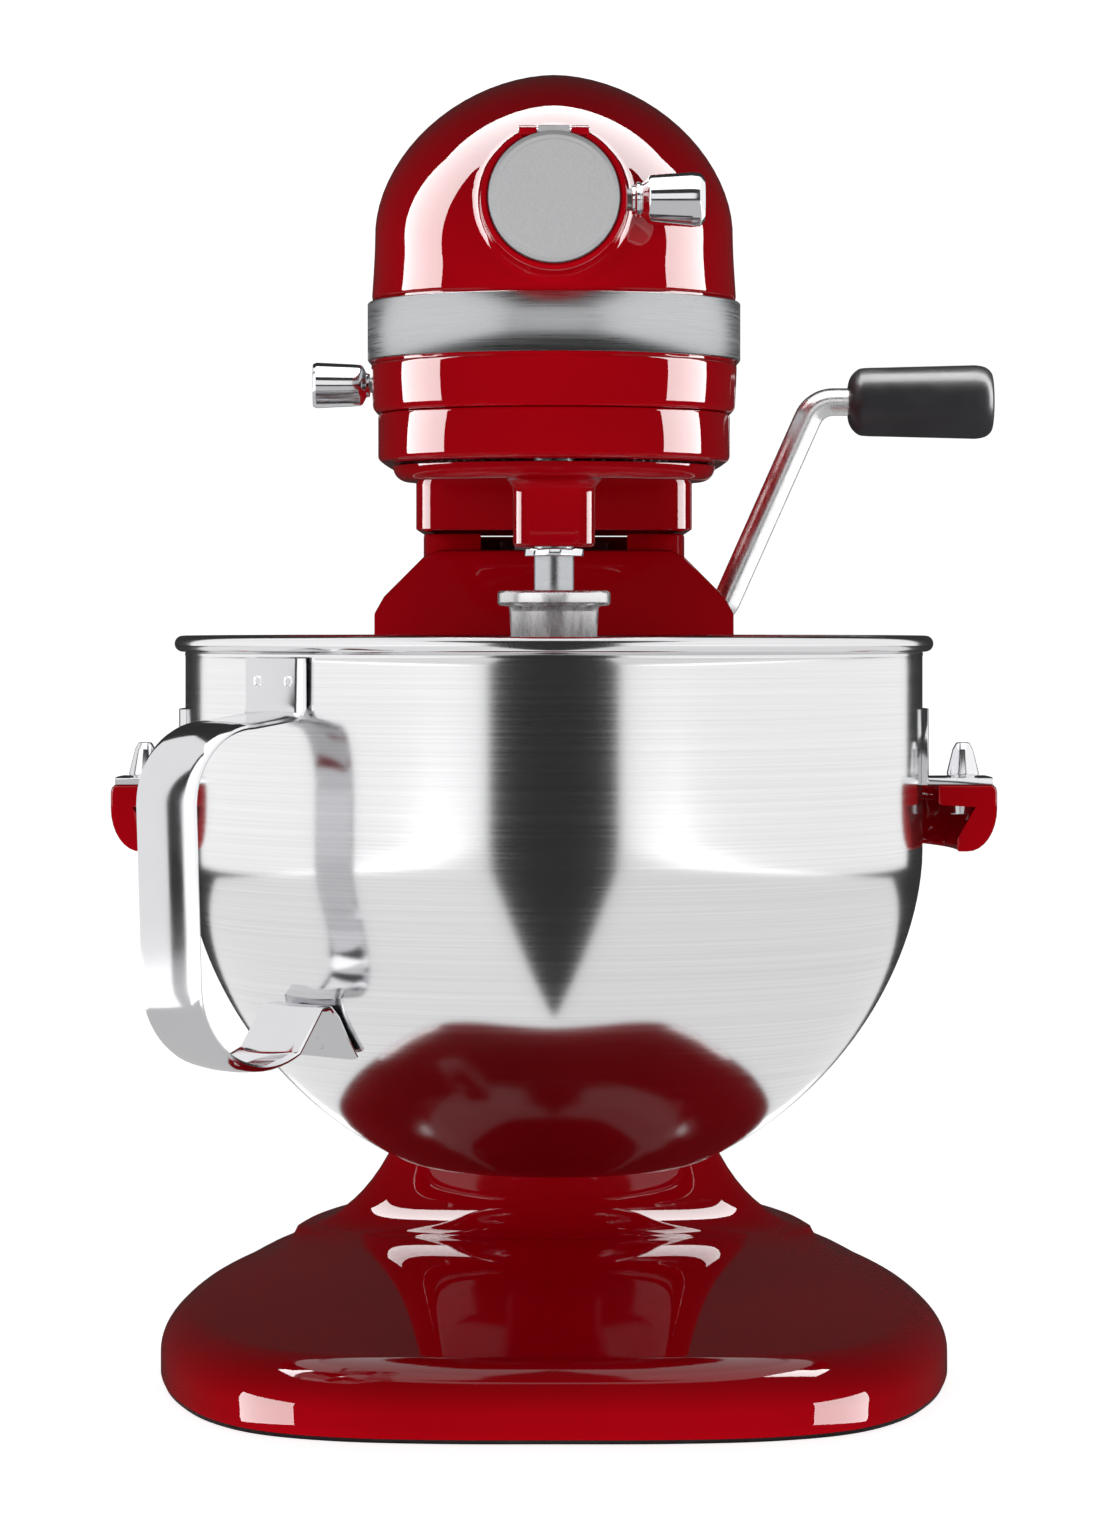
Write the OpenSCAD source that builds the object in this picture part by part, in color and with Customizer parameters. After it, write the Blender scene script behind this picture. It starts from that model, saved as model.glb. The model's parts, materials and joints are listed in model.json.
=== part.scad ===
// Bowl-lift stand mixer. Millimetres, +Z up, the attachment hub faces -Y.
// The origin is on the bench, under the axis of the bowl and the planetary.

/* [Head] */
// Height of the top of the head above the bench
head_top = 418; // [416:1:422]
// Half width of the head at the trim band
head_half = 58.9; // [58.5:0.1:60]
// Front face of the head
head_front = -78; // [-80:1:-76]
// Height of the attachment hub's axis
hub_z = 370; // [369:1:371]
// Bore of the attachment hub
hub_bore_d = 35; // [34:0.5:36]

/* [Bowl] */
// Outer radius of the bowl's straight wall
bowl_r = 119.4; // [118.5:0.1:120]
// Height of the bowl's rim with the bowl raised
bowl_top = 235.7; // [234:0.1:236]
// Thickness of the bowl's sheet
bowl_wall = 1.4; // [1.2:0.1:1.6]
// Radius from the bowl's axis to the outside of the handle
handle_reach = 166; // [164:1:168]

/* [Bowl lift] */
// Distance that the bowl comes down
lift_travel = 33.7; // [32:0.1:34]
// Half width over the two arms of the bowl support
arm_half = 143.4; // [142.5:0.1:144]

/* [Base and column] */
// Half width of the column
column_half = 46.8; // [46:0.1:48]
// Front face of the column
column_front = 138; // [138:0.5:139]
// Height of the pedestal casting
pedestal_top = 271.5; // [270:0.5:271.5]

/* [Mixing drive] */
// Radius of the beater shaft's path round the planetary axis
orbit_r = 30; // [30:1:30]
// Diameter of the beater shaft
beater_shaft_d = 12.7; // [12:0.1:13]

/* [Hidden] */
$fn = 48;
// How far a cut runs past the face that it starts from
past = 0.1;

// Colours
enamel = "#b0101c";
steel = "#b9bcc0";
bright = "#d8dadd";
bronze = "#b5904a";
black = "#26262a";
copper = "#b06a3a";

// Head levels
split_z = 307;
case_bottom = 291.3;
band_z0 = 323.6;
band_z1 = 342.4;
spring_z = 366;
nose_len = 62;
nose_y = head_front + nose_len;
head_rear = 184;
head_wall = 4;
boss_r = 22.5;
boss_face = -91;

// Levels of the column and the base
column_c = [0, 174];
column_back = 211;
column_n = 7;
base_edge_z = 9;
shoulder_w = 24;
shoulder_z = 22.5;
flare_w = 52;
flare_h = 78;

// Bowl levels
bowl_bottom = bowl_top - 170.9;
wall_foot = bowl_top - 69.7;
rim_r = 2.6;

// Bowl support and lever
arm_in = 124.3;
arm_top = 187.7;
plate_y0 = 127.5;
plate_y1 = 136.5;
lever_y = 158;
lever_z = 242;
lever_turn = 100;
crank_r = lift_travel / (2 * sin(lever_turn / 2));
crank_pin = [0, lever_y + crank_r * cos(lever_turn / 2), lever_z + crank_r * sin(lever_turn / 2)];

// Gears: tooth counts, modules and levels
ring_teeth = 72;
planet_teeth = 24;
planet_m = 2 * orbit_r / (ring_teeth - planet_teeth);
spur_teeth = 56;
pinion_teeth = 14;
spur_m = 1.5;
second_shaft = [-27, 45];
spur_z = 320;
bevel_teeth = 26;
hub_teeth = 18;
bevel_z = hub_z - hub_teeth;
worm_z = 352;
motor_y = 105;

// Value at share t of the way from a to b
function mix(a, b, t) = a + (b - a) * t;

// Faces between ring a and ring b of n points each
function strip(a, b, n) = [
    for (i = [0 : n - 1])
        let (j = (i + 1) % n)
        each [[a + i, b + i, a + j], [a + j, b + i, b + j]]
];

// Solid through closed rings of equal length, capped at both ends
module loft(rings) {
    n = len(rings[0]);
    m = len(rings);
    polyhedron(
        points = [for (r = rings) each r],
        faces = concat(
            [[for (i = [0 : n - 1]) i]],
            [for (k = [0 : m - 2]) each strip(k * n, (k + 1) * n, n)],
            [[for (i = [n - 1 : -1 : 0]) (m - 1) * n + i]]));
}

// Solid whose rings run round a closed section, so that it has a hole through it
module hollow_loft(rings) {
    n = len(rings[0]);
    m = len(rings);
    polyhedron(
        points = [for (r = rings) each r],
        faces = [for (k = [0 : m - 1]) each strip(k * n, ((k + 1) % m) * n, n)]);
}

// Cylinder along X or Y, from its low end
module rod_x(d, l) rotate([0, 90, 0]) cylinder(d = d, h = l);
module rod_y(d, l) rotate([-90, 0, 0]) cylinder(d = d, h = l);

// Rectangle with round corners, centred
module round_rect(w, d, r) {
    square([w - 2 * r, d], center = true);
    square([w, d - 2 * r], center = true);
    for (x = [-1, 1], y = [-1, 1])
        translate([x * (w / 2 - r), y * (d / 2 - r)]) circle(r);
}

// Ring about Z
module ring(od, id, h) {
    difference() {
        cylinder(d = od, h = h);
        translate([0, 0, -past]) cylinder(d = id, h = h + 2 * past);
    }
}

// Pan-head screw along -Z, its head's seat at z = 0
module screw(d, l) {
    translate([0, 0, -l]) cylinder(d = d, h = l);
    difference() {
        cylinder(d1 = 2 * d, d2 = 1.5 * d, h = 0.6 * d);
        translate([-d / 8, -d, 0.35 * d]) cube([d / 4, 2 * d, d]);
        translate([-d, -d / 8, 0.35 * d]) cube([2 * d, d / 4, d]);
    }
}

// Gear outline: tooth 0 points along +X, width is the share of the pitch that a tooth fills
function gear_points(n, root, pitch, tip, width = 0.42) = [
    for (i = [0 : n - 1])
        let (c = i * 360 / n, w = width * 180 / n, k = tan(20) * 57.3)
        each [
            for (s = [[-1, root], [-1, tip], [1, tip], [1, root]])
                let (a = c + s[0] * (w + k * (pitch - s[1]) / s[1]))
                s[1] * [cos(a), sin(a)]
        ]
];
module gear(n, m, h, addendum = 0.9, dedendum = 1.25) {
    r = n * m / 2;
    linear_extrude(height = h) polygon(gear_points(n, r - dedendum * m, r, r + addendum * m));
}

// ---- Pedestal: base and column in one casting ----

// Half outline of the base from the front centre to the back centre
base_half = [[0, -155.5], [34, -155], [64, -150.5], [88, -138.5], [104, -117.5], [114.5, -90], [121.5, -60],
    [125.4, -26], [124.8, 14], [120.8, 62], [112.6, 110], [101, 157], [79, 198], [42, 218], [0, 221]];
function mirrored(half) = concat(half, [for (i = [len(half) - 2 : -1 : 1]) [-half[i][0], half[i][1]]]);
function closed_spline(p, n) = [
    for (i = [0 : len(p) - 1], k = [0 : n - 1])
        let (m = len(p), a = p[(i + m - 1) % m], b = p[i], c = p[(i + 1) % m], d = p[(i + 2) % m],
            t = k / n)
        0.5 * (2 * b + (c - a) * t + (2 * a - 5 * b + 4 * c - d) * t * t
            + (3 * b - a - 3 * c + d) * t * t * t)
];
function base_outline() = closed_spline(mirrored(base_half), 2);

// Distance from the column's axis to its wall along unit direction u
function column_reach(u) =
    let (a = column_half, b = (column_back - column_front) / 2)
    pow(pow(abs(u[0]) / a, column_n) + pow(abs(u[1]) / b, column_n), -1 / column_n);

// Ring of the casting: part names the stretch of the profile, f runs along it, w insets it
function pedestal_ring(part, f, w) = [
    for (p = base_outline())
        let (v = p - column_c, u = v / norm(v), edge = norm(v) - w, wall = column_reach(u) - w,
            gap = edge - wall, sw = min(shoulder_w, 0.3 * gap), fw = min(flare_w, 0.66 * gap),
            top = shoulder_z - 0.9 * w, flare_z = top + 5.5,
            r = part == "edge" ? edge
                : part == "shoulder" ? edge - sw * (1 - cos(f))
                : part == "flat" ? mix(edge - sw, wall + fw, f)
                : part == "flare" ? wall + fw * (1 - sin(f))
                : wall,
            z = part == "shoulder" ? mix(base_edge_z, top, sin(f))
                : part == "flat" ? mix(top, flare_z, f)
                : part == "flare" ? flare_z + (flare_h + 0.9 * w * f / 90) * (1 - cos(f))
                : f)
        [column_c[0] + u[0] * r, column_c[1] + u[1] * r, z]
];
casting_bottom = 1.5;
pedestal_wall = 5;
base_posts = [[70, -75], [-70, -75], [66, 150], [-66, 150]];
module pedestal_shell() {
    outer = concat(
        [for (z = [casting_bottom, base_edge_z]) pedestal_ring("edge", z, 0)],
        [for (f = [18 : 18 : 90]) pedestal_ring("shoulder", f, 0)],
        [for (f = [0.33, 0.67]) pedestal_ring("flat", f, 0)],
        [for (f = [0 : 10 : 90]) pedestal_ring("flare", f, 0)],
        [pedestal_ring("column", pedestal_top, 0)]);
    inner = concat(
        [pedestal_ring("column", pedestal_top, pedestal_wall)],
        [for (f = [90 : -18 : 0]) pedestal_ring("flare", f, pedestal_wall)],
        [for (f = [90, 45, 0]) pedestal_ring("shoulder", f, pedestal_wall)],
        [pedestal_ring("edge", casting_bottom, pedestal_wall)]);
    hollow_loft(concat(outer, inner));
}
rail_x = 30;
rail_w = 8;
rail_zs = [165, 248];
window = [[-26, 136, 200], [34, 12, 80]];
inlet_z = 48;
module pedestal() {
    color(enamel)
    difference() {
        union() {
            pedestal_shell();
            for (p = base_posts)
                translate([p[0], p[1], 7.2]) cylinder(d = 11, h = shoulder_z - 9);
        }
        for (p = base_posts)
            translate([p[0], p[1], 7]) cylinder(d = 4, h = 10);
        translate(window[0]) cube(window[1]);
        translate([35, lever_y, lever_z]) rod_x(20.1, 20);
        translate([0, 190, inlet_z]) rod_y(12.1, 40);
        for (x = [-rail_x, rail_x]) {
            translate([x - rail_w / 2 - 0.05, column_front - 2, 149.9]) cube([rail_w + 0.1, 2.6, 112.2]);
            for (z = rail_zs)
                translate([x, 135, z]) rod_y(4.1, 12);
        }
    }
}
module bottom_plate() {
    inset = 6.5;
    outline = [for (p = base_outline()) let (v = p - column_c) column_c + v * (1 - inset / norm(v))];
    color(steel)
    translate([0, 0, 5])
    difference() {
        linear_extrude(height = 2) polygon(outline);
        for (p = feet)
            translate([p[0], p[1], -past]) cylinder(d = 6.4, h = 3);
        for (p = base_posts)
            translate([p[0], p[1], -past]) cylinder(d = 4.3, h = 3);
    }
}
module bottom_screws() {
    color(steel)
    for (p = base_posts)
        translate([p[0], p[1], 4.9]) mirror([0, 0, 1]) screw(3.9, 10);
}
feet = [[0, 0], [84, -88], [-84, -88], [60, 182], [-60, 182]];
module rubber_feet() {
    color(black)
    for (p = feet)
        translate([p[0], p[1], 0]) {
            cylinder(d = 24, h = 1.2);
            translate([0, 0, 1.2]) cylinder(d1 = 24, d2 = 20, h = 3.7);
            translate([0, 0, 4.9]) cylinder(d = 6, h = 2.2);
            translate([0, 0, 7.1]) cylinder(d1 = 8.4, d2 = 5, h = 3);
        }
}
module mains_inlet() {
    color(black)
    translate([0, 203, inlet_z])
    difference() {
        union() {
            rod_y(12, 16);
            translate([0, 12.5, 0]) rod_y(17, 3.5);
            rod_y(15, 2);
        }
        translate([0, -past, 0]) rod_y(7, 20);
    }
}
module guide_rails() {
    color(steel)
    for (x = [-rail_x, rail_x])
        difference() {
            translate([x - rail_w / 2, column_front - 5, 150]) cube([rail_w, 5.6, 112]);
            for (z = rail_zs)
                translate([x, column_front - 3.5, z]) rod_y(4, 5);
        }
}
module rail_screws() {
    color(steel)
    for (x = [-rail_x, rail_x], z = rail_zs)
        translate([x, column_front + 5.8, z]) rotate([-90, 0, 0]) screw(3.9, 9);
}
module lift_shaft_bush() {
    color(bronze)
    translate([0, lever_y, lever_z])
    difference() {
        union() {
            translate([32, 0, 0]) rod_x(20, 18);
            translate([47.4, 0, 0]) rod_x(26, 3);
        }
        translate([31, 0, 0]) rod_x(12.1, 22);
    }
}

// ---- Head ----

// Half width and top of the head at station y
function head_w(y, half) = y < nose_y
    ? half * sqrt(max(0, 1 - pow((nose_y - y) / nose_len, 2)))
    : half - 0.00016 * pow(y - nose_y, 2);
crown_y = 20;
crown_drop = 67;
function head_t(y) = y < crown_y
    ? head_top - crown_drop * (1 - pow(max(0, 1 - pow((crown_y - y) / (crown_y - head_front), 2.6)), 1 / 2.6))
    : head_top - 0.00025 * pow(y - crown_y, 2);

// Closed outline of the head at its widest: floor, slightly barrelled sides and a pointed arch
arch_p = 2 / 1.85;
function head_section() = let (
        side = [for (z = [split_z, split_z + 16, 333, 350]) [head_half - 0.0013 * pow(z - 333, 2), z]],
        w = head_half - 0.0013 * pow(spring_z - 333, 2),
        arch = [for (a = [0 : 9 : 180])
            [w * sign(cos(a)) * pow(abs(cos(a)), arch_p), spring_z + (head_top - spring_z) * pow(sin(a), arch_p)]])
    concat(side, arch, [for (i = [len(side) - 1 : -1 : 0]) [-side[i][0], side[i][1]]]);

// That outline at station y, thinned by wall w
function head_ring(y, w) = let (
        sx = (head_w(y, head_half) - w) / head_half,
        sz = (head_t(y) - split_z - 2 * w) / (head_top - split_z))
    [for (p = head_section()) [p[0] * sx, y, split_z + w + (p[1] - split_z) * sz]];

// Hollow dome along Y: rings go from the open end to the closed end
module cup(outer, inner) {
    n = len(outer[0]);
    m = len(outer);
    k = len(inner);
    polyhedron(
        points = concat([for (r = outer) each r], [for (r = inner) each r]),
        faces = concat(
            [for (i = [0 : m - 2]) each strip(i * n, (i + 1) * n, n)],
            [[for (i = [n - 1 : -1 : 0]) (m - 1) * n + i]],
            [for (i = [0 : k - 2]) each strip((m + i + 1) * n, (m + i) * n, n)],
            [[for (i = [0 : n - 1]) (m + k - 1) * n + i]],
            strip(m * n, 0, n)));
}
neck_half = 47.9;
neck_y = [92, 206];
slot_y = [11.5, 65.5];
lever_rest_y = 60;
knob_z = 320;
ear_y = -89.5;
ear_z = hub_z + 20.2;
ear_d = 3.4;
knuckle_d = 3.6;
// Clearance for the hub cover's hinge in the top of the boss
module hinge_notch(room) {
    translate([-10 - room, boss_face - 2, ear_z - 1.95]) cube([20 + 2 * room, 9.2 + room, 10]);
}
clamp_y = -80;
case_bolts = [[27, -57], [-27, -57], [42, 76], [-42, 76]];
module neck(w, d, z0, z1, r) {
    translate([0, (neck_y[0] + neck_y[1]) / 2, z0])
        linear_extrude(height = z1 - z0) round_rect(w, d, r);
}
module head_housing() {
    outer_y = [head_rear, 150, 110, 70, 35, 5, -16, -30, -42, -52, -60, -66, -70.5, -74, -76.4, -77.8];
    inner_y = [head_rear, 150, 110, 70, 35, 5, -16, -32, -46, -56, -63, -68];
    color(enamel)
    union() {
        difference() {
            cup([for (y = outer_y) head_ring(y, 0)], [for (y = inner_y) head_ring(y, head_wall)]);
            translate([-40, 98, split_z - 6]) cube([80, 68, 12]);
            translate([0, 0, split_z - 1]) cylinder(d = 104, h = head_wall + 2);
            translate([second_shaft[0], second_shaft[1], split_z - 1]) cylinder(d = 30, h = head_wall + 2);
            translate([0, boss_face - 1, hub_z]) rod_y(42.5, 60);
            translate([-64, slot_y[0], knob_z - 2.9]) cube([14, slot_y[1] - slot_y[0], 5.8]);
            for (p = case_bolts)
                translate([p[0], p[1], split_z - 1]) cylinder(d = 4.1, h = head_wall + 3);
        }
        difference() {
            neck(2 * neck_half, neck_y[1] - neck_y[0], pedestal_top + 0.3, split_z + 1, 12);
            neck(86, 104, pedestal_top - 1, split_z - 4, 8);
            translate([-40.5, 97.5, split_z - 6]) cube([81, 69, 12]);
            translate([-60, head_rear + 0.1, split_z - 0.2]) cube([120, 30, 4]);
        }
        difference() {
            union() {
                difference() {
                    translate([0, boss_face, hub_z]) rod_y(2 * boss_r, 27.5);
                    translate([0, boss_face - 2, hub_z]) rod_y(40.7, 60);
                    hinge_notch(0);
                }
                for (s = [-1, 1])
                    translate([s * 8 - 2.7, ear_y, ear_z]) rod_x(ear_d, 5.4);
            }
            translate([-14, ear_y, ear_z]) rod_x(2.1, 28);
            translate([15, clamp_y, hub_z]) rod_x(7, 20);
        }
    }
}
module lower_gearcase() {
    rear = neck_y[0] - 0.3;
    inset = 2.4;
    side = [for (y = [-75, -74, -71, -66, -58, -48, -36, -20, 0, 20, 40, 60, rear])
        [head_w(y, head_half) < inset + 6 ? 6 : head_w(y, head_half) - inset, y]];
    outline = concat([for (p = side) p], [for (i = [len(side) - 1 : -1 : 0]) [-side[i][0], side[i][1]]]);
    function level(z, shrink) = [for (p = outline)
        [p[0] * (1 - shrink / 56), p[1] * (1 - shrink / (p[1] < 0 ? 75 : 1000)), z]];
    color(enamel)
    difference() {
        loft([level(case_bottom, 1.6), level(case_bottom + 0.6, 0.6), level(case_bottom + 1.8, 0),
            level(split_z - 0.1, 0)]);
        translate([0, 0, case_bottom - 1]) cylinder(d = 100.6, h = 11);
        translate([0, 0, split_z - 8]) cylinder(d = 26.1, h = 10);
        translate([second_shaft[0], second_shaft[1], 303]) cylinder(d = 14.1, h = 8);
        translate([-36, 58, 296]) cube([72, 26, 20]);
        for (p = case_bolts)
            translate([p[0], p[1], case_bottom - 1]) {
                cylinder(d = 4.1, h = 20);
                cylinder(d = 8.6, h = 4);
            }
    }
}
module gearcase_screws() {
    color(steel)
    for (p = case_bolts)
        translate([p[0], p[1], case_bottom + 2.9]) mirror([0, 0, 1]) screw(3.9, 16.5);
}
cover_scale_y = [184.3, 190, 197, 204, 210, 214.5, 217.6, 219];
module rear_cover() {
    function dome(y, w) = let (
            s = pow(1 - pow((y - head_rear) / 37, 2.4), 0.5),
            c = 352)
        [for (p = head_ring(head_rear, 0))
            let (k = s - w / norm([p[0], p[2] - c])) [-p[0] * k, y, c + (p[2] - c) * k]];
    color(enamel)
    difference() {
        union() {
            cup([for (y = cover_scale_y) dome(y, 0)],
                [for (y = [184.3, 190, 197, 204, 209, 213, 215.6]) dome(y, 3)]);
            translate([0, 173.3, 322]) rod_y(10, 43);
        }
        translate([0, 173, 322]) rod_y(4.2, 60);
        translate([0, 213, 322]) rod_y(8.4, 20);
        for (z = [334 : 5 : 364])
            translate([-20, 200, z]) cube([40, 25, 2]);
    }
}
module rear_cover_screw() {
    color(steel)
    translate([0, 213.05, 322]) rotate([-90, 0, 0]) screw(3.9, 41);
}
module trim_band() {
    side = [183.5, 150, 115, 80, 45, 15, -5, -18, -28, -38, -47, -54, -60, -65, -69, -72, -74.4, -76.2,
        -77.3];
    function at(y, out) = let (w = head_w(y, head_half))
        [w + out * (y < nose_y ? w / head_half : 1), y - out * (y < nose_y ? (nose_y - y) / nose_len : 0)];
    function loop(out) = concat([for (y = side) at(y, out)],
        [for (i = [len(side) - 1 : -1 : 0]) let (p = at(side[i], out)) [-p[0], p[1]]]);
    a = loop(0.6);
    b = loop(1);
    color(bright)
    loft([for (i = [0 : len(a) - 1])
        [[a[i][0], a[i][1], band_z0], [b[i][0], b[i][1], band_z0], [b[i][0], b[i][1], band_z1],
            [a[i][0], a[i][1], band_z1]]]);
}

// ---- Attachment hub ----

sleeve_len = 33;
sleeve_rear = boss_face + 0.2 + sleeve_len;
module hub_sleeve() {
    color(steel)
    translate([0, boss_face + 0.2, hub_z])
    difference() {
        rod_y(40.5, sleeve_len);
        translate([0, -past, 0]) rod_y(hub_bore_d, sleeve_len + 2 * past);
        translate([15, clamp_y - boss_face - 0.2, 0]) rod_x(7, 10);
        translate([0, -boss_face - 0.2, -hub_z]) hinge_notch(0.8);
    }
}
module hub_bearing_housing() {
    color(steel)
    translate([0, sleeve_rear + 0.05, hub_z])
    difference() {
        rod_y(40.5, 22);
        translate([0, -1, 0]) rod_y(26, 12);
        rod_y(24.1, 30);
    }
}
module hub_shaft_bush() {
    color(bronze)
    translate([0, -46.5, hub_z])
    difference() {
        rod_y(24, 10);
        translate([0, -1, 0]) rod_y(14.1, 12);
    }
}
module hub_cover() {
    color(bright)
    difference() {
        union() {
            translate([0, boss_face - 0.35, hub_z]) rotate([90, 0, 0]) {
                cylinder(r = 20, h = 1.6);
                translate([0, 0, 1.6]) cylinder(r1 = 20, r2 = 18.6, h = 1);
            }
            translate([-4.8, ear_y, ear_z]) rod_x(knuckle_d, 9.6);
            translate([-4.8, boss_face - 0.9, ear_z - 1.8]) cube([9.6, 2.4, 3.4]);
        }
        translate([-6, ear_y, ear_z]) rod_x(2.1, 12);
    }
}
module hub_cover_pin() {
    color(steel)
    translate([-11, ear_y, ear_z]) rod_x(2, 22);
}
module clamp_screw() {
    color(steel)
    translate([17.7, clamp_y, hub_z]) rod_x(6.8, 20);
}
module clamp_knob() {
    color(bright)
    translate([23.9, clamp_y, hub_z]) rotate([0, 90, 0])
    difference() {
        rotate_extrude()
            polygon([[0, 0], [4.5, 0], [5.4, 1.6], [7.4, 4], [8, 6], [8.5, 18], [8.2, 20.4], [7, 22],
                [4, 22.6], [0, 22.7]]);
        translate([0, 0, -past]) cylinder(d = 6.9, h = 14.5);
    }
}

// ---- Planetary and beater ----

module ring_gear() {
    r = ring_teeth * planet_m / 2;
    color(steel)
    translate([0, 0, 292])
    difference() {
        cylinder(d = 100.4, h = 9);
        translate([0, 0, -1]) rotate(-90)
            linear_extrude(height = 12)
                polygon(gear_points(ring_teeth, r - 0.9 * planet_m, r, r + 1.25 * planet_m, 0.58));
    }
}
module planetary_bearing() {
    color(bronze)
    translate([0, 0, split_z - 5.6]) ring(26, 14.1, 9);
}
module planetary_housing() {
    color(enamel)
    difference() {
        union() {
            translate([0, 0, 285.5])
                rotate_extrude()
                    polygon(concat([[0, 0]],
                        [for (a = [-90 : 15 : 0]) [47.3 + 5 * cos(a), 5 + 5 * sin(a)]], [[52.3, 5.2], [0, 5.2]]));
            translate([0, 0, 290]) cylinder(r = 12, h = 11);
            translate([0, -orbit_r, 264.8]) linear_extrude(height = 22) round_rect(26, 26, 7);
            translate([0, -orbit_r, 264]) linear_extrude(height = 1) round_rect(24.6, 24.6, 6.4);
        }
        translate([0, 0, 280]) cylinder(d = 14.05, h = 30);
        translate([0, -orbit_r, 263]) cylinder(d = 18.05, h = 30);
    }
}
module planetary_shaft() {
    color(steel)
    translate([0, 0, 286]) cylinder(d = 14, h = bevel_z + 4.5 - 286);
}
module centre_spur_gear() {
    aim = atan2(second_shaft[1], second_shaft[0]);
    color(steel)
    difference() {
        union() {
            translate([0, 0, spur_z]) rotate(aim) gear(spur_teeth, spur_m, 7);
            translate([0, 0, 311.5]) cylinder(r = 11, h = 32);
        }
        translate([0, 0, 300]) cylinder(d = 14.05, h = 60);
        for (a = [0 : 60 : 300])
            rotate(a) translate([26, 0, spur_z - 1]) cylinder(d = 16, h = 9);
    }
}
// Straight bevel gear: its big end lies at z = 0 and its teeth shrink towards the apex
module bevel(n, r_apex_h, half_angle, share) {
    root = r_apex_h * tan(half_angle - 3.8);
    tip = r_apex_h * tan(half_angle + 2.8);
    linear_extrude(height = r_apex_h * (1 - share), scale = share)
        polygon(gear_points(n, root, n, tip, 0.4));
}
bevel_share = 0.75;
module centre_bevel_gear() {
    color(steel)
    difference() {
        union() {
            translate([0, 0, bevel_z]) rotate(-90)
                bevel(bevel_teeth, hub_teeth, atan2(bevel_teeth, hub_teeth), bevel_share);
            translate([0, 0, bevel_z - 7]) cylinder(r = 21.5, h = 8);
        }
        translate([0, 0, 300]) cylinder(d = 14.05, h = 100);
    }
}
module hub_bevel_gear() {
    color(steel)
    translate([0, -bevel_teeth, hub_z]) rotate([-90, 0, 0])
    difference() {
        union() {
            rotate(90 + 180 / hub_teeth)
                bevel(hub_teeth, bevel_teeth, atan2(hub_teeth, bevel_teeth), bevel_share);
            translate([0, 0, -7]) cylinder(r = 14.5, h = 8);
        }
        translate([0, 0, -20]) cylinder(d = 14.05, h = 40);
    }
}
module hub_drive_shaft() {
    color(steel)
    translate([0, sleeve_rear + 0.4, hub_z])
    difference() {
        union() {
            rod_y(22, 9.4);
            rod_y(14, 39.4);
        }
        translate([-5.5, -past, -5.5]) cube([11, 16, 11]);
    }
}
module beater_bushes() {
    color(bronze)
    for (z = [264.3, 281])
        translate([0, -orbit_r, z]) ring(18, beater_shaft_d + 0.1, 9.5);
}
module beater_shaft() {
    color(bright)
    translate([0, -orbit_r, 0]) {
        translate([0, 0, 228]) cylinder(d = beater_shaft_d, h = 73);
        translate([-9.5, 0, 240]) rod_x(3, 19);
    }
}
module beater_washer() {
    color(steel)
    translate([0, -orbit_r, 261]) ring(19, beater_shaft_d + 0.06, 2.4);
}
module planet_pinion() {
    color(steel)
    translate([0, -orbit_r, 292.5])
    difference() {
        rotate(-90) gear(planet_teeth, planet_m, 8);
        translate([0, 0, -1]) cylinder(d = beater_shaft_d + 0.06, h = 12);
    }
}
// Inner radius of the bowl at height z
function bowl_out(z) = z >= wall_foot ? bowl_r
    : bowl_r * sqrt(max(0, 1 - pow((wall_foot - z) / 110.6, 1.8)));
beater_gap = 4.2;
beater_foot = bowl_bottom + bowl_wall + beater_gap;
function blade(z, inset) = min(76 - inset, bowl_out(z - 2) - bowl_wall - orbit_r - beater_gap - inset);
function blade_outline(z0, z1, inset) = let (
        side = concat([for (z = [z0, z0 + 3, z0 + 8, z0 + 15, z0 + 25, z0 + 38, z0 + 55, z0 + 75, 172])
                [blade(z, inset), z]],
            [for (a = [0 : 18 : 90]) [12 + (64 - inset) * cos(a), 172 + (z1 - 172) * sin(a)]]))
    concat(side, [for (i = [len(side) - 1 : -1 : 0]) [-side[i][0], side[i][1]]]);
module flat_beater() {
    color("#cfd1d4")
    translate([0, -orbit_r, 0])
    difference() {
        union() {
            translate([0, 3.5, 0]) rotate([90, 0, 0]) linear_extrude(height = 7)
                difference() {
                    polygon(blade_outline(beater_foot, 224, 0));
                    difference() {
                        polygon(blade_outline(beater_foot + 9, 214, 9));
                        square([11, 600], center = true);
                        for (s = [-1, 1]) {
                            polygon([[0, 188], [0, 179], [s * 80, 137], [s * 80, 146]]);
                            polygon([[0, 140], [0, 131], [s * 80, 89], [s * 80, 98]]);
                        }
                    }
                }
            translate([0, 0, 212]) cylinder(d1 = 26, d2 = 28.4, h = 34);
            translate([0, 0, 245.3]) cylinder(d = 34.5, h = 0.8);
            translate([0, 0, 246]) cylinder(d = 36, h = 3.3);
            translate([0, 0, 249.2]) cylinder(d = 34.8, h = 0.9);
        }
        translate([0, 0, 226]) cylinder(d = beater_shaft_d + 0.2, h = 40);
        translate([-10.2, -2, 238]) cube([20.4, 4, 4]);
    }
}

// ---- Motor and gear train ----

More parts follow.
